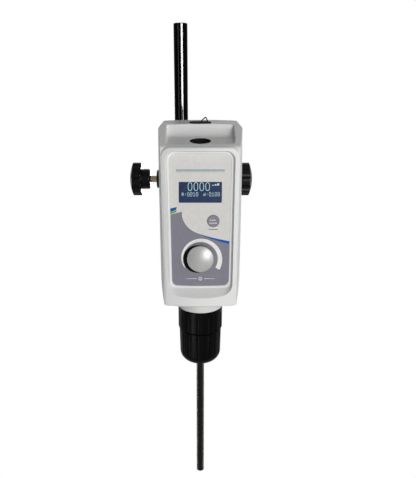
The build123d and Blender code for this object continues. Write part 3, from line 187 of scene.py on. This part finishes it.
def vary_roughness(mat, low, high, scale, stretch=(1.0, 1.0, 1.0)):
    """Lets the gloss drift between two roughnesses over the surface."""
    nodes, links = nodes_of(mat)
    spread = nodes.new("ShaderNodeMapRange")
    spread.inputs["From Min"].default_value = NOISE_LOW
    spread.inputs["From Max"].default_value = NOISE_HIGH
    spread.inputs["To Min"].default_value = low
    spread.inputs["To Max"].default_value = high
    links.new(noise(mat, scale, detail=3.0, stretch=stretch), spread.inputs["Value"])
    links.new(spread.outputs["Result"], nodes["Principled BSDF"].inputs["Roughness"])


def grain(mat, scale, height_mm, detail=3.0, stretch=(1.0, 1.0, 1.0), soften_mm=0.0):
    """A fine surface grain, and edges that catch the light as a moulded or machined edge does."""
    nodes, links = nodes_of(mat)
    bump = nodes.new("ShaderNodeBump")
    bump.inputs["Strength"].default_value = 1.0
    bump.inputs["Distance"].default_value = height_mm * MM
    links.new(noise(mat, scale, detail, stretch), bump.inputs["Height"])
    if soften_mm:
        bevel = nodes.new("ShaderNodeBevel")
        bevel.samples = BEVEL_SAMPLES
        bevel.inputs["Radius"].default_value = soften_mm * MM
        links.new(bevel.outputs["Normal"], bump.inputs["Normal"])
    links.new(bump.outputs["Normal"], nodes["Principled BSDF"].inputs["Normal"])


def moulded(name, color, roughness, grain_scale=2600.0, grain_mm=0.012, specular=0.4, drift=0.03,
            soften=0.25):
    """Injection-moulded plastic: spark-eroded grain, slight unevenness in gloss and tone."""
    mat = principled(name, color, roughness, specular=specular)
    vary_color(mat, color, drift, scale=35.0)
    vary_roughness(mat, low=roughness * 0.88, high=min(1.0, roughness * 1.12), scale=60.0)
    grain(mat, grain_scale, grain_mm, soften_mm=soften)
    return mat


def turned_metal(name, color, roughness, drift=0.06, ring_stretch=RINGS, soften=0.2):
    """Metal with the fine rings or drawing lines that a lathe or die leaves."""
    mat = principled(name, color, roughness, metallic=1.0)
    vary_color(mat, color, drift, scale=4.0, stretch=ring_stretch)
    vary_roughness(mat, low=roughness * 0.75, high=roughness * 1.3, scale=3.0, stretch=ring_stretch)
    grain(mat, scale=3.0, height_mm=0.004, stretch=ring_stretch, soften_mm=soften)
    return mat


def enamel(name, color, roughness, coat, drift=0.02, specular=0.4, peel_mm=0.006):
    """Sprayed and baked paint with a faint orange peel."""
    mat = principled(name, color, roughness, specular=specular, coat=coat, coat_roughness=0.06)
    vary_color(mat, color, drift, scale=45.0)
    grain(mat, scale=420.0, height_mm=peel_mm, detail=1.0, soften_mm=0.25)
    return mat


def board(name):
    """A green circuit board: lacquer over copper tracks."""
    mat = principled(name, LACQUER, roughness=0.35)
    tracks = ramp(mat, noise(mat, scale=180.0, detail=0.0), [(0.48, LACQUER_GAP), (0.52, LACQUER_TRACK)])
    nodes, links = nodes_of(mat)
    links.new(tracks, nodes["Principled BSDF"].inputs["Base Color"])
    grain(mat, scale=900.0, height_mm=0.01)
    return mat


def windings(name):
    """Enamelled copper wire wound in fine turns."""
    mat = principled(name, COPPER, roughness=0.35, metallic=0.8)
    vary_color(mat, COPPER, amount=0.35, scale=6.0, stretch=WIRE_TURNS)
    grain(mat, scale=5.0, height_mm=0.08, stretch=WIRE_TURNS)
    return mat


def glass_window(name, color):
    """The display's dark blue cover, with the faint cell pattern of the panel under it."""
    mat = principled(name, color, roughness=0.16, specular=0.18, coat=0.06, coat_roughness=0.05)
    vary_color(mat, color, amount=0.22, scale=140.0, detail=5.0)
    return mat


def ink(name, color, roughness=0.42, specular=0.2):
    """Screen-printed ink with the film's own fine texture."""
    mat = principled(name, color, roughness, specular=specular)
    vary_color(mat, color, amount=0.035, scale=300.0)
    grain(mat, scale=1800.0, height_mm=0.006)
    return mat


def lit_ink(name, color, strength):
    """The display's glowing figures."""
    mat = ink(name, color)
    shader = mat.node_tree.nodes["Principled BSDF"]
    shader.inputs["Emission Color"].default_value = (*color, 1.0)
    shader.inputs["Emission Strength"].default_value = strength
    return mat


MATERIALS = {
    "steel": turned_metal("turned_steel", (0.45, 0.45, 0.46), 0.28),
    "screw_steel": turned_metal("zinc_steel", (0.19, 0.145, 0.10), 0.34, ring_stretch=THREAD),
    "mast_black": enamel("mast_black", (0.0008, 0.0008, 0.0009), 0.09, coat=0.0, specular=0.012,
                         peel_mm=0.0002),
    "clamp_metal": moulded("clamp_casting", (0.006, 0.006, 0.0065), 0.45, grain_scale=900.0, grain_mm=0.03,
                           specular=0.15),
    "brass": turned_metal("brass", (0.70, 0.50, 0.20), 0.28),
    "knob_black": moulded("knob_black", (0.0035, 0.0035, 0.0037), 0.26, grain_scale=2200.0, specular=0.05,
                          soften=0.5),
    "housing_white": moulded("housing_white", (0.80, 0.805, 0.795), 0.40, grain_scale=2400.0,
                             grain_mm=0.006, specular=0.14, drift=0.012, soften=0.5),
    "panel_film": ink("panel_film", (0.70, 0.69, 0.66)),
    "display_glass": glass_window("display_glass", (0.016, 0.034, 0.098)),
    "display_frame": moulded("display_frame", (0.02, 0.02, 0.022), 0.5),
    "circuit_board": board("circuit_board"),
    "switch_black": moulded("switch_black", (0.006, 0.006, 0.0065), 0.34, specular=0.2),
    "button_grey": moulded("button_grey", (0.20, 0.195, 0.235), 0.5, grain_scale=1800.0, grain_mm=0.01),
    "encoder_metal": turned_metal("encoder_metal", (0.55, 0.55, 0.55), 0.3),
    "dial_black": moulded("dial_black", (0.004, 0.004, 0.004), 0.4, specular=0.15),
    "dial_silver": moulded("dial_silver", (0.43, 0.435, 0.415), 0.38, grain_scale=2200.0, specular=0.3,
                           drift=0.05, soften=0.4),
    "boss_grey": enamel("boss_grey", (0.66, 0.66, 0.645), 0.4, coat=0.1),
    "bearing_steel": turned_metal("bearing_steel", (0.52, 0.52, 0.54), 0.2),
    "rubber_black": moulded("rubber_black", (0.012, 0.012, 0.012), 0.6, grain_scale=1500.0, grain_mm=0.02,
                            specular=0.03),
    "spring_steel": turned_metal("spring_steel", (0.20, 0.21, 0.24), 0.3),
    "gear_plastic": moulded("gear_plastic", (0.74, 0.71, 0.60), 0.45),
    "frame_aluminium": turned_metal("frame_aluminium", (0.72, 0.72, 0.73), 0.32, ring_stretch=ALONG_X),
    "motor_metal": turned_metal("motor_metal", (0.55, 0.56, 0.58), 0.28),
    "stator_core": windings("stator_core"),
    "rotor_core": turned_metal("rotor_core", (0.30, 0.30, 0.32), 0.3),
    "chuck_black": moulded("chuck_black", (0.0022, 0.0022, 0.0023), 0.30, grain_scale=1900.0, grain_mm=0.008,
                           specular=0.02, soften=0.35),
    "jaw_steel": turned_metal("jaw_steel", (0.42, 0.43, 0.46), 0.24),
    "shaft_steel": turned_metal("shaft_steel", (0.011, 0.0098, 0.0086), 0.20, drift=0.03,
                                ring_stretch=ALONG_Z),
    "power_components": moulded("power_components", (0.03, 0.03, 0.04), 0.45),
}


def dress_cad():
    """Gives each CAD node the material of its record slot."""
    for part in frame["record"]["subparts"]:
        node = frame["nodes"][part["node"]]
        for place in node.material_slots:
            place.material = MATERIALS[part["material_slot"]]
    bar = turned_metal("drawn_bar", (0.42, 0.42, 0.43), 0.24, ring_stretch=ALONG_Y)
    for place in frame["nodes"]["extension_bar"].material_slots:
        place.material = bar


dress_cad()


# ---------------------------------------------------------------- mesh helpers
# points closer than this are one, in metres
SAME_POINT = 1e-7


def finish_piece(name, mesh, material, body):
    """Links a mesh as a piece that rides on a body."""
    piece = bpy.data.objects.new(name, mesh)
    bpy.context.scene.collection.objects.link(piece)
    mesh.materials.append(material)
    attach(piece, body)


def join_rows(shape, low, high, closed):
    """Four-sided faces between two rows of as many points."""
    count = len(low)
    for i in range(count if closed else count - 1):
        j = (i + 1) % count
        shape.faces.new((low[i], low[j], high[j], high[i]))


def mesh_of(shape, name):
    """The shape's mesh, with its faces turned outwards."""
    bmesh.ops.recalc_face_normals(shape, faces=shape.faces)
    mesh = bpy.data.meshes.new(name)
    shape.to_mesh(mesh)
    shape.free()
    return mesh


def ribbon(name, first, second, proud, material, body="head", closed=False):
    """A thin printed band between two rows of panel points, with its edge down to the surface."""
    shape = bmesh.new()
    rows = []
    for row, lift in ((first, 0.0), (first, INK), (second, INK), (second, 0.0)):
        rows.append([shape.verts.new(on_panel(x, up, proud + lift)) for x, up in row])
    for low, high in zip(rows[:-1], rows[1:]):
        join_rows(shape, low, high, closed)
    bmesh.ops.remove_doubles(shape, verts=shape.verts, dist=SAME_POINT)
    finish_piece(name, mesh_of(shape, name), material, body)


def add_cells(name, cells, face, material, body):
    """One mesh of small raised cells on a face that lies so far out from the panel."""
    shape = bmesh.new()
    for left, right, low, high in cells:
        ring = [(left, low), (right, low), (right, high), (left, high)]
        bottom = [shape.verts.new(on_panel(x, up, face)) for x, up in ring]
        top = [shape.verts.new(on_panel(x, up, face + INK)) for x, up in ring]
        shape.faces.new(top)
        join_rows(shape, bottom, top, True)
    finish_piece(name, mesh_of(shape, name), material, body)


def bezier(start, first, second, end, steps=CURVE_STEPS):
    """Points along a cubic curve."""
    points = []
    for i in range(steps + 1):
        t = i / steps
        s = 1.0 - t
        weights = (s**3, 3 * s * s * t, 3 * s * t * t, t**3)
        controls = (start, first, second, end)
        points.append(tuple(sum(w * p[k] for w, p in zip(weights, controls)) for k in (0, 1)))
    return points


def arc(centre, radius, start, end, steps):
    """Points round an arc, angles in degrees."""
    turns = [math.radians(start + (end - start) * i / steps) for i in range(steps + 1)]
    return [(centre[0] + radius * math.cos(a), centre[1] + radius * math.sin(a)) for a in turns]


def panel_half(up):
    """The printed half width of the panel at a height up it."""
    share = (up - PANEL_BOTTOM) / (PANEL_TOP - PANEL_BOTTOM)
    return PANEL_HALF_BOTTOM + share * (PANEL_HALF_TOP - PANEL_HALF_BOTTOM) - PRINT_MARGIN


def panel_foot(x):
    """The panel's lower printed edge at a place across it, with its rounded corners."""
    half = panel_half(PANEL_BOTTOM)
    edge = PANEL_BOTTOM + PRINT_MARGIN - PANEL_BULGE * (1.0 - (x / half) ** 2)
    into = abs(x) - (half - PANEL_CORNER)
    if into > 0:
        edge += PANEL_CORNER - math.sqrt(max(0.0, PANEL_CORNER**2 - into**2))
    return edge


# ---------------------------------------------------------------- panel print
FIELD_TIP = (-16.2, 87.3)
FIELD_LEFT_UP = 84.7
SHOULDER_STEPS = 6
STRIPE_START = (-3.8, 68.3)
FIELD_RIGHT_UP = 60.4
STRIPE_END_UP = 57.9
# the two points that pull each curve of the swept edge and the stripe into shape
SWEEP_DOWN_PULLS = ((-17.4, 79.6), (-11.6, 71.6))
SWEEP_RIGHT_PULLS = ((3.9, 65.1), (16.0, 62.2))
STRIPE_LOW_PULLS = ((4.0, 64.4), (15.6, 60.2))
# the white line follows the edge down to the stripe's start and a few steps along it
EDGE_LINE_SHIFT = (0.45, 0.3)
EDGE_LINE_STEPS = 3
# the short bars: the height that gives their left end, then each edge's height there and its right end
BARS_UP = 88.0
BAR_BLUE_TOP = (90.2, (-20.9, 91.6))
BAR_BLUE_FOOT = (86.9, (-21.6, 89.0))
BAR_GREEN_TOP = (86.7, (-21.0, 88.8))
BAR_GREEN_FOOT = (84.9, (-21.3, 87.1))

sweep_down = bezier(FIELD_TIP, *SWEEP_DOWN_PULLS, STRIPE_START)
sweep_right = bezier(STRIPE_START, *SWEEP_RIGHT_PULLS, (panel_half(FIELD_RIGHT_UP), FIELD_RIGHT_UP))
stripe_low = bezier(STRIPE_START, *STRIPE_LOW_PULLS, (panel_half(STRIPE_END_UP), STRIPE_END_UP))
field_grey = ink("field_grey", (0.218, 0.212, 0.255))
print_white = ink("print_white", (0.86, 0.86, 0.84))
print_blue = ink("print_blue", (0.0, 0.10, 0.42), roughness=0.5, specular=0.1)
print_green = ink("print_green", (0.115, 0.35, 0.026), roughness=0.5, specular=0.1)
print_grey = ink("print_grey", (0.12, 0.12, 0.13))
# black ink for the knob's painted shadow on the panel
painted_knob_shadow_ink = ink("painted_knob_shadow_ink", (0.003, 0.003, 0.0035), roughness=0.6, specular=0.04)


def add_field():
    """The grey lower half of the panel, from its swept upper edge down to the panel's foot."""
    left = (-panel_half(FIELD_LEFT_UP), FIELD_LEFT_UP)
    shares = [i / SHOULDER_STEPS for i in range(SHOULDER_STEPS)]
    shoulder = [tuple(left[k] + (FIELD_TIP[k] - left[k]) * share for k in (0, 1)) for share in shares]
    # near its tip the edge hangs back over itself, so the columns under it start at its right-most point
    top = shoulder + [p for p in sweep_down if p[0] >= FIELD_TIP[0]] + sweep_right[1:]
    low = [(x, panel_foot(x)) for x, _ in top]
    low[0] = (-panel_half(PANEL_BOTTOM), low[0][1])
    ribbon("panel_field", top, low, 0.0, field_grey)


def add_stripes():
    """The blue stripe and white line along the field's swept edge, and the two short bars at its left end."""
    ribbon("panel_stripe", sweep_right, stripe_low, INK_STEP, print_blue)
    swept = sweep_down + sweep_right[1:EDGE_LINE_STEPS + 1]
    shifted = [(x + EDGE_LINE_SHIFT[0], up + EDGE_LINE_SHIFT[1]) for x, up in swept]
    ribbon("panel_edge_line", shifted, swept, INK_STEP, print_white)
    bars = (("panel_bar_blue", BAR_BLUE_TOP, BAR_BLUE_FOOT, print_blue),
            ("panel_bar_green", BAR_GREEN_TOP, BAR_GREEN_FOOT, print_green))
    left = -panel_half(BARS_UP)
    for name, (top_up, top_end), (foot_up, foot_end), material in bars:
        ribbon(name, [(left, top_up), top_end], [(left, foot_up), foot_end], 0.0, material)


RING_CENTRE = (0.1, 43.8)
RING_RADIUS = 15.8
RING_WIDTH = 4.3
RING_START = 212.5
RING_END = -30.2
RING_STEPS = 72
# the knob's painted shadow: the crescent's inner edge is its outer one drawn in towards SHADE_CORE, where the
# knob hides it
SHADE_CENTRE = (-2.95, 43.7)
SHADE_RADIUS = 12.75
SHADE_START = 80.0
SHADE_END = 280.0
SHADE_STEPS = 48
SHADE_CORE = (0.5, 43.7)
SHADE_EDGE_SHARE = 0.2


def add_dial_marks():
    """The white speed ring that widens as it goes round, and the knob's painted shadow, a black crescent
    beside the knob.
    """
    centre_x, centre_up = RING_CENTRE
    inner = arc(RING_CENTRE, RING_RADIUS, RING_START, RING_END, RING_STEPS)
    outer = []
    for i, (x, up) in enumerate(inner):
        reach = 1.0 + RING_WIDTH * math.sqrt(i / RING_STEPS) / RING_RADIUS
        outer.append((centre_x + (x - centre_x) * reach, centre_up + (up - centre_up) * reach))
    ribbon("dial_ring", inner, outer, INK_STEP, print_white)
    # painted shadow: a black crescent printed where the knob's shadow falls on the panel
    crescent = arc(SHADE_CENTRE, SHADE_RADIUS, SHADE_START, SHADE_END, SHADE_STEPS)
    near, far = SHADE_EDGE_SHARE, 1.0 - SHADE_EDGE_SHARE
    inside = [(x * near + far * SHADE_CORE[0], up * near + far * SHADE_CORE[1]) for x, up in crescent]
    ribbon("dial_knob_painted_shadow", crescent, inside, INK_STEP, painted_knob_shadow_ink)


PUSH_MARK_UP = 25.3
PUSH_RING_OUTSIDE = 1.7
PUSH_RING_INSIDE = 1.25
PUSH_RING_STEPS = 28
PUSH_BAR_HALF = (0.22, 0.8)
# the rules beside the mark: near and far end from the middle, and half their thickness there
PUSH_RULE_REACH = (3.6, 13.4)
PUSH_RULE_HALF = (0.25, 0.1)
# the plain rules: half length or ends across, and heights of the upper and lower edge
HEAD_RULE_HALF = 21.5
HEAD_RULE_BLUE = (124.6, 123.9)
HEAD_RULE_GREEN = (122.9, 122.5)
MODE_RULE_REACH = (7.4, 15.8)
MODE_RULE = (71.5, 70.9)


def add_rule(name, left, right, edges, proud, material):
    """A straight printed rule between its upper and lower edges."""
    top, foot = edges
    ribbon(name, [(left, top), (right, top)], [(left, foot), (right, foot)], proud, material)


def add_push_mark():
    """A plain start and stop sign under the dial, a ring with a bar in it, between two rules that taper."""
    centre = (0.0, PUSH_MARK_UP)
    ring = arc(centre, PUSH_RING_OUTSIDE, 0.0, 360.0, PUSH_RING_STEPS)[:-1]
    hole = arc(centre, PUSH_RING_INSIDE, 0.0, 360.0, PUSH_RING_STEPS)[:-1]
    ribbon("push_mark_ring", ring, hole, INK_STEP, print_white, closed=True)
    half, rise = PUSH_BAR_HALF
    add_rule("push_mark_bar", -half, half, (PUSH_MARK_UP + rise, PUSH_MARK_UP - rise), INK_STEP, print_white)
    for side, name in ((-1, "push_rule_left"), (1, "push_rule_right")):
        ends = [(side * x, thick) for x, thick in zip(PUSH_RULE_REACH, PUSH_RULE_HALF)]
        tops = [(x, PUSH_MARK_UP + thick) for x, thick in ends]
        feet = [(x, PUSH_MARK_UP - thick) for x, thick in ends]
        ribbon(name, tops, feet, INK_STEP, print_white)


def add_plain_rules():
    """Two plain fine rules over the display, and a short one under the mode button."""
    add_rule("head_rule_blue", -HEAD_RULE_HALF, HEAD_RULE_HALF, HEAD_RULE_BLUE, 0.0, print_blue)
    add_rule("head_rule_green", -HEAD_RULE_HALF, HEAD_RULE_HALF, HEAD_RULE_GREEN, 0.0, print_green)
    add_rule("mode_rule", *MODE_RULE_REACH, MODE_RULE, 0.0, print_grey)


add_field()
add_stripes()
add_dial_marks()
add_push_mark()
add_plain_rules()

# ---------------------------------------------------------------- display figures
FIGURE_STEP = 0.01
FIGURE_PROUD = WINDOW_FACE + FIGURE_STEP
ZERO_CENTRES = (-9.1, -3.9, 1.3, 6.5)
ZERO_HALF_WIDTH = 1.95
ZERO_HALF_HEIGHT = 3.8
ZERO_STROKE = 0.5
ZERO_UP = 109.7
ZERO_STEPS = 32
ZERO_SQUARENESS = 0.8
# small figures and signs, five cells wide and seven high
DOTS = {
    "0": ("01110", "10001", "10001", "10101", "10001", "10001", "01110"),
    "1": ("00100", "01100", "00100", "00100", "00100", "00100", "01110"),
    "dial": ("00000", "01110", "10101", "10111", "10001", "01110", "00000"),
    "gauge": ("00000", "00001", "00101", "10101", "10101", "10101", "00000"),
    "pair": ("00000", "00000", "00100", "00000", "00100", "00000", "00000"),
}
DOT_PITCH = (0.41, 0.56)
DOT_FILL = 0.88
SMALL_UP = 104.8
SMALL_PITCH = 2.55
# each reading: its piece, its figures and its left edge
READINGS = (
    ("display_reading_left", ("dial", "pair", *"0010"), -16.7),
    ("display_reading_right", ("gauge", "pair", *"0100"), 2.6),
)
# bars beside the large reading, each taller than the last
LEVEL_BARS = 3
LEVEL_BAR_LEFT = 10.4
LEVEL_BAR_PITCH = 2.3
LEVEL_BAR_WIDTH = 1.7
LEVEL_BAR_FOOT = 110.6
LEVEL_BAR_HEIGHT = 0.6
LEVEL_BAR_STEP = 0.7

display_cyan = lit_ink("display_cyan", (0.46, 0.70, 0.74), strength=0.12)


def oval(centre, half_width, half_height):
    """An upright rounded figure outline, squarer than an ellipse."""
    points = []
    for i in range(ZERO_STEPS):
        a = 2 * math.pi * i / ZERO_STEPS
        c, s = math.cos(a), math.sin(a)
        x = half_width * math.copysign(abs(c) ** ZERO_SQUARENESS, c)
        y = half_height * math.copysign(abs(s) ** ZERO_SQUARENESS, s)
        points.append((centre[0] + x, centre[1] + y))
    return points


def add_large_zeros():
    """The large reading: four zeros drawn as closed bands."""
    for i, x in enumerate(ZERO_CENTRES):
        outer = oval((x, ZERO_UP), ZERO_HALF_WIDTH, ZERO_HALF_HEIGHT)
        inner = oval((x, ZERO_UP), ZERO_HALF_WIDTH - ZERO_STROKE, ZERO_HALF_HEIGHT - ZERO_STROKE)
        name = f"display_zero_{i + 1}"
        ribbon(name, outer, inner, FIGURE_PROUD, display_cyan, closed=True)


def dot_rects(pattern, left, top):
    """The lit cells of one dot-matrix figure as (left, right, low, high) rectangles."""
    cells = []
    for row, bits in enumerate(pattern):
        high = top - row * DOT_PITCH[1]
        low = high - DOT_PITCH[1] * DOT_FILL
        for column, bit in enumerate(bits):
            if bit == "1":
                x = left + column * DOT_PITCH[0]
                cells.append((x, x + DOT_PITCH[0] * DOT_FILL, low, high))
    return cells


def add_small_figures():
    """Two small readings under the large one, each after its own small sign."""
    for name, signs, left in READINGS:
        cells = []
        for i, sign in enumerate(signs):
            cells += dot_rects(DOTS[sign], left + i * SMALL_PITCH, SMALL_UP)
        add_cells(name, cells, FIGURE_PROUD, display_cyan, "head")


def add_level_bars():
    """Three bars that rise from left to right, beside the large reading."""
    bars = []
    for i in range(LEVEL_BARS):
        left = LEVEL_BAR_LEFT + i * LEVEL_BAR_PITCH
        top = LEVEL_BAR_FOOT + LEVEL_BAR_HEIGHT + i * LEVEL_BAR_STEP
        bars.append((left, left + LEVEL_BAR_WIDTH, LEVEL_BAR_FOOT, top))
    add_cells("display_level_bars", bars, FIGURE_PROUD, display_cyan, "head")


add_large_zeros()
add_small_figures()
add_level_bars()

# ---------------------------------------------------------------- mode button's marks
# each row's height and where its strokes start
STROKE_ROWS = ((79.3, (8.6, 10.4, 12.2)), (76.6, (8.1, 9.9, 11.7, 13.5)))
STROKE_LENGTH = 1.3
STROKE_WIDTH = 0.75


def add_button_marks():
    """Two rows of short white strokes on the mode button."""
    strokes = []
    for up, starts in STROKE_ROWS:
        strokes += [(x, x + STROKE_LENGTH, up, up + STROKE_WIDTH) for x in starts]
    add_cells("button_strokes", strokes, BUTTON_FACE, print_white, "button")


add_button_marks()

# ---------------------------------------------------------------- outlet lining
LINING_OUTSIDE = 9.55
LINING_INSIDE = 9.2
LINING_FOOT = 141.35
LINING_TOP = 146.2
LINING_STEPS = 64
SCOOP_SLOPE = math.radians(9.0)
SHARP_ANGLE = math.radians(40.0)


def add_outlet_lining():
    """A thin dark sleeve inside the spindle's outlet, cut to the sloping floor round it."""
    shape = bmesh.new()
    rings = []
    inside, outside = LINING_INSIDE, LINING_OUTSIDE
    for radius, at_top in ((inside, False), (inside, True), (outside, True), (outside, False)):
        ring = []
        for i in range(LINING_STEPS):
            a = 2 * math.pi * i / LINING_STEPS
            x, y = radius * math.cos(a), radius * math.sin(a)
            z = LINING_TOP + y * math.tan(SCOOP_SLOPE) if at_top else LINING_FOOT
            ring.append(shape.verts.new(head_point(x, y, z)))
        rings.append(ring)
    for low, high in zip(rings, rings[1:] + rings[:1]):
        join_rows(shape, low, high, True)
    mesh = mesh_of(shape, "outlet_lining")
    for face in mesh.polygons:
        face.use_smooth = True
    mesh.set_sharp_from_angle(angle=SHARP_ANGLE)
    finish_piece("outlet_lining", mesh, MATERIALS["rubber_black"], "head")


add_outlet_lining()

# ---------------------------------------------------------------- studio
WHITE = (1.0, 1.0, 1.0, 1.0)
PALE = (0.8, 0.8, 0.8, 1.0)
WORLD_LEVEL = 0.08
# the stirrer hangs in the air, so the floor lies well below it; both in metres
FLOOR_HALF = 3.0
FLOOR_DROP = 0.35
LIT_POINT = head_point(0.0, 0.0, 70.0)
LAMP_DISTANCE = 1.1
# lamps: name, azimuth and elevation in degrees, (width, height) in metres, power in watts
LAMPS = [
    ("key_right", 20.0, 10.0, (0.5, 0.6), 7.9),
    ("side_right", 72.0, 10.0, (0.35, 0.5), 1.1),
    ("low_front", 0.0, -30.0, (0.35, 0.5), 1.7),
    ("back_fill", 180.0, -8.0, (0.25, 0.5), 4.0),
]
# strips: the same, and the CAD nodes that each one lights and shows in as a reflection alone
KNOBS = ("left_star_knob", "right_star_knob")
SLEEVES = ("chuck_rear_sleeve", "chuck_front_sleeve")
SHAFT = ("stirring_shaft",)
STRIPS = [
    ("mast_strip", 25.0, 2.0, (0.62, 1.2), 2700.0, ("mast_rod",)),
    ("mast_glint", -44.0, 2.0, (0.16, 1.2), 40.0, ("mast_rod",)),
    ("knob_strip", 30.0, 22.0, (0.12, 0.5), 130.0, KNOBS),
    ("chuck_strip", -38.0, -30.0, (0.12, 0.8), 9.0, SLEEVES),
    ("shaft_strip_left", -118.0, -36.0, (1.0, 1.2), 90.0, SHAFT),
    ("shaft_strip_right", 105.0, -36.0, (1.4, 1.2), 160.0, SHAFT),
    ("dial_glow", 24.0, 8.0, (0.24, 0.4), 38.0, ("knob_cap",)),
]


def add_camera():
    """The photo's camera, its frame shifted so that the stirrer's axis falls where it does in the photo."""
    data = bpy.data.cameras.new("view_camera")
    data.sensor_fit = "VERTICAL"
    data.sensor_height = SENSOR
    data.lens = SENSOR * FOCAL_PX / FRAME_HEIGHT_PX
    data.shift_x = (FRAME_WIDTH_PX / 2 - AXIS_PX) / FRAME_HEIGHT_PX
    data.clip_start = NEAR_CLIP * MM
    camera = bpy.data.objects.new("view_camera", data)
    camera.location = head_point(0.0, -CAMERA_BACK, CAMERA_UP)
    camera.rotation_euler = (math.pi / 2 - CAMERA_PITCH, 0.0, 0.0)
    bpy.context.scene.collection.objects.link(camera)
    bpy.context.scene.camera = camera


def add_lamp(name, azimuth, elevation, size, power, only=None):
    """A softbox aimed at the head from a direction round it: 0 is the camera's side, positive to the right.

    With only=, it lights just those nodes and shows in them as a reflection alone.
    """
    data = bpy.data.lights.new(name, "AREA")
    data.shape = "RECTANGLE"
    data.size, data.size_y = size
    data.energy = power
    turn, rise = math.radians(azimuth), math.radians(elevation)
    away = Vector((math.sin(turn) * math.cos(rise), -math.cos(turn) * math.cos(rise), math.sin(rise)))
    lamp = bpy.data.objects.new(name, data)
    lamp.location = LIT_POINT + away * LAMP_DISTANCE
    lamp.rotation_euler = away.to_track_quat("Z", "Y").to_euler()
    bpy.context.scene.collection.objects.link(lamp)
    if only:
        lamp.visible_diffuse = False
        lit = bpy.data.collections.new(name + "_lights")
        for node in only:
            lit.objects.link(frame["nodes"][node])
        lamp.light_linking.receiver_collection = lit
        lamp.light_linking.blocker_collection = lit


def white_to_the_eye(tree, output_type):
    """A mix whose second input the camera and reflections see, and whose first lights the scene."""
    nodes, links = tree.nodes, tree.links
    nodes.clear()
    path = nodes.new("ShaderNodeLightPath")
    add_gloss = nodes.new("ShaderNodeMath")
    add_gloss.operation = "ADD"
    links.new(path.outputs["Is Camera Ray"], add_gloss.inputs[0])
    links.new(path.outputs["Is Glossy Ray"], add_gloss.inputs[1])
    seen = nodes.new("ShaderNodeMath")
    seen.operation = "ADD"
    seen.use_clamp = True
    links.new(add_gloss.outputs[0], seen.inputs[0])
    links.new(path.outputs["Is Transmission Ray"], seen.inputs[1])
    mix = nodes.new("ShaderNodeMixShader")
    links.new(seen.outputs[0], mix.inputs["Fac"])
    output = nodes.new(output_type)
    links.new(mix.outputs["Shader"], output.inputs["Surface"])
    return nodes, links, mix


def add_world():
    """Soft light from all round, under a background that looks plain white."""
    world = bpy.data.worlds.new("studio")
    world.use_nodes = True
    bpy.context.scene.world = world
    nodes, links, mix = white_to_the_eye(world.node_tree, "ShaderNodeOutputWorld")
    for socket, strength in ((1, WORLD_LEVEL), (2, 1.0)):
        background = nodes.new("ShaderNodeBackground")
        background.inputs["Color"].default_value = WHITE
        background.inputs["Strength"].default_value = strength
        links.new(background.outputs["Background"], mix.inputs[socket])


def add_floor():
    """The plain pale floor under the stirrer."""
    mesh = bpy.data.meshes.new("floor")
    half = FLOOR_HALF
    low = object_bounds()[0]
    z = low[2] - FLOOR_DROP
    corners = [(-half, -half, z), (half, -half, z), (half, half, z), (-half, half, z)]
    mesh.from_pydata(corners, [], [(0, 1, 2, 3)])
    floor = bpy.data.objects.new("floor", mesh)
    bpy.context.scene.collection.objects.link(floor)
    mat = bpy.data.materials.new("floor_white")
    mat.use_nodes = True
    nodes, links, mix = white_to_the_eye(mat.node_tree, "ShaderNodeOutputMaterial")
    diffuse = nodes.new("ShaderNodeBsdfDiffuse")
    diffuse.inputs["Color"].default_value = PALE
    glow = nodes.new("ShaderNodeEmission")
    glow.inputs["Color"].default_value = WHITE
    links.new(diffuse.outputs["BSDF"], mix.inputs[1])
    links.new(glow.outputs["Emission"], mix.inputs[2])
    mesh.materials.append(mat)


add_camera()
add_world()
add_floor()
for lamp in LAMPS + STRIPS:
    add_lamp(*lamp)

bpy.context.scene.view_settings.view_transform = "Standard"
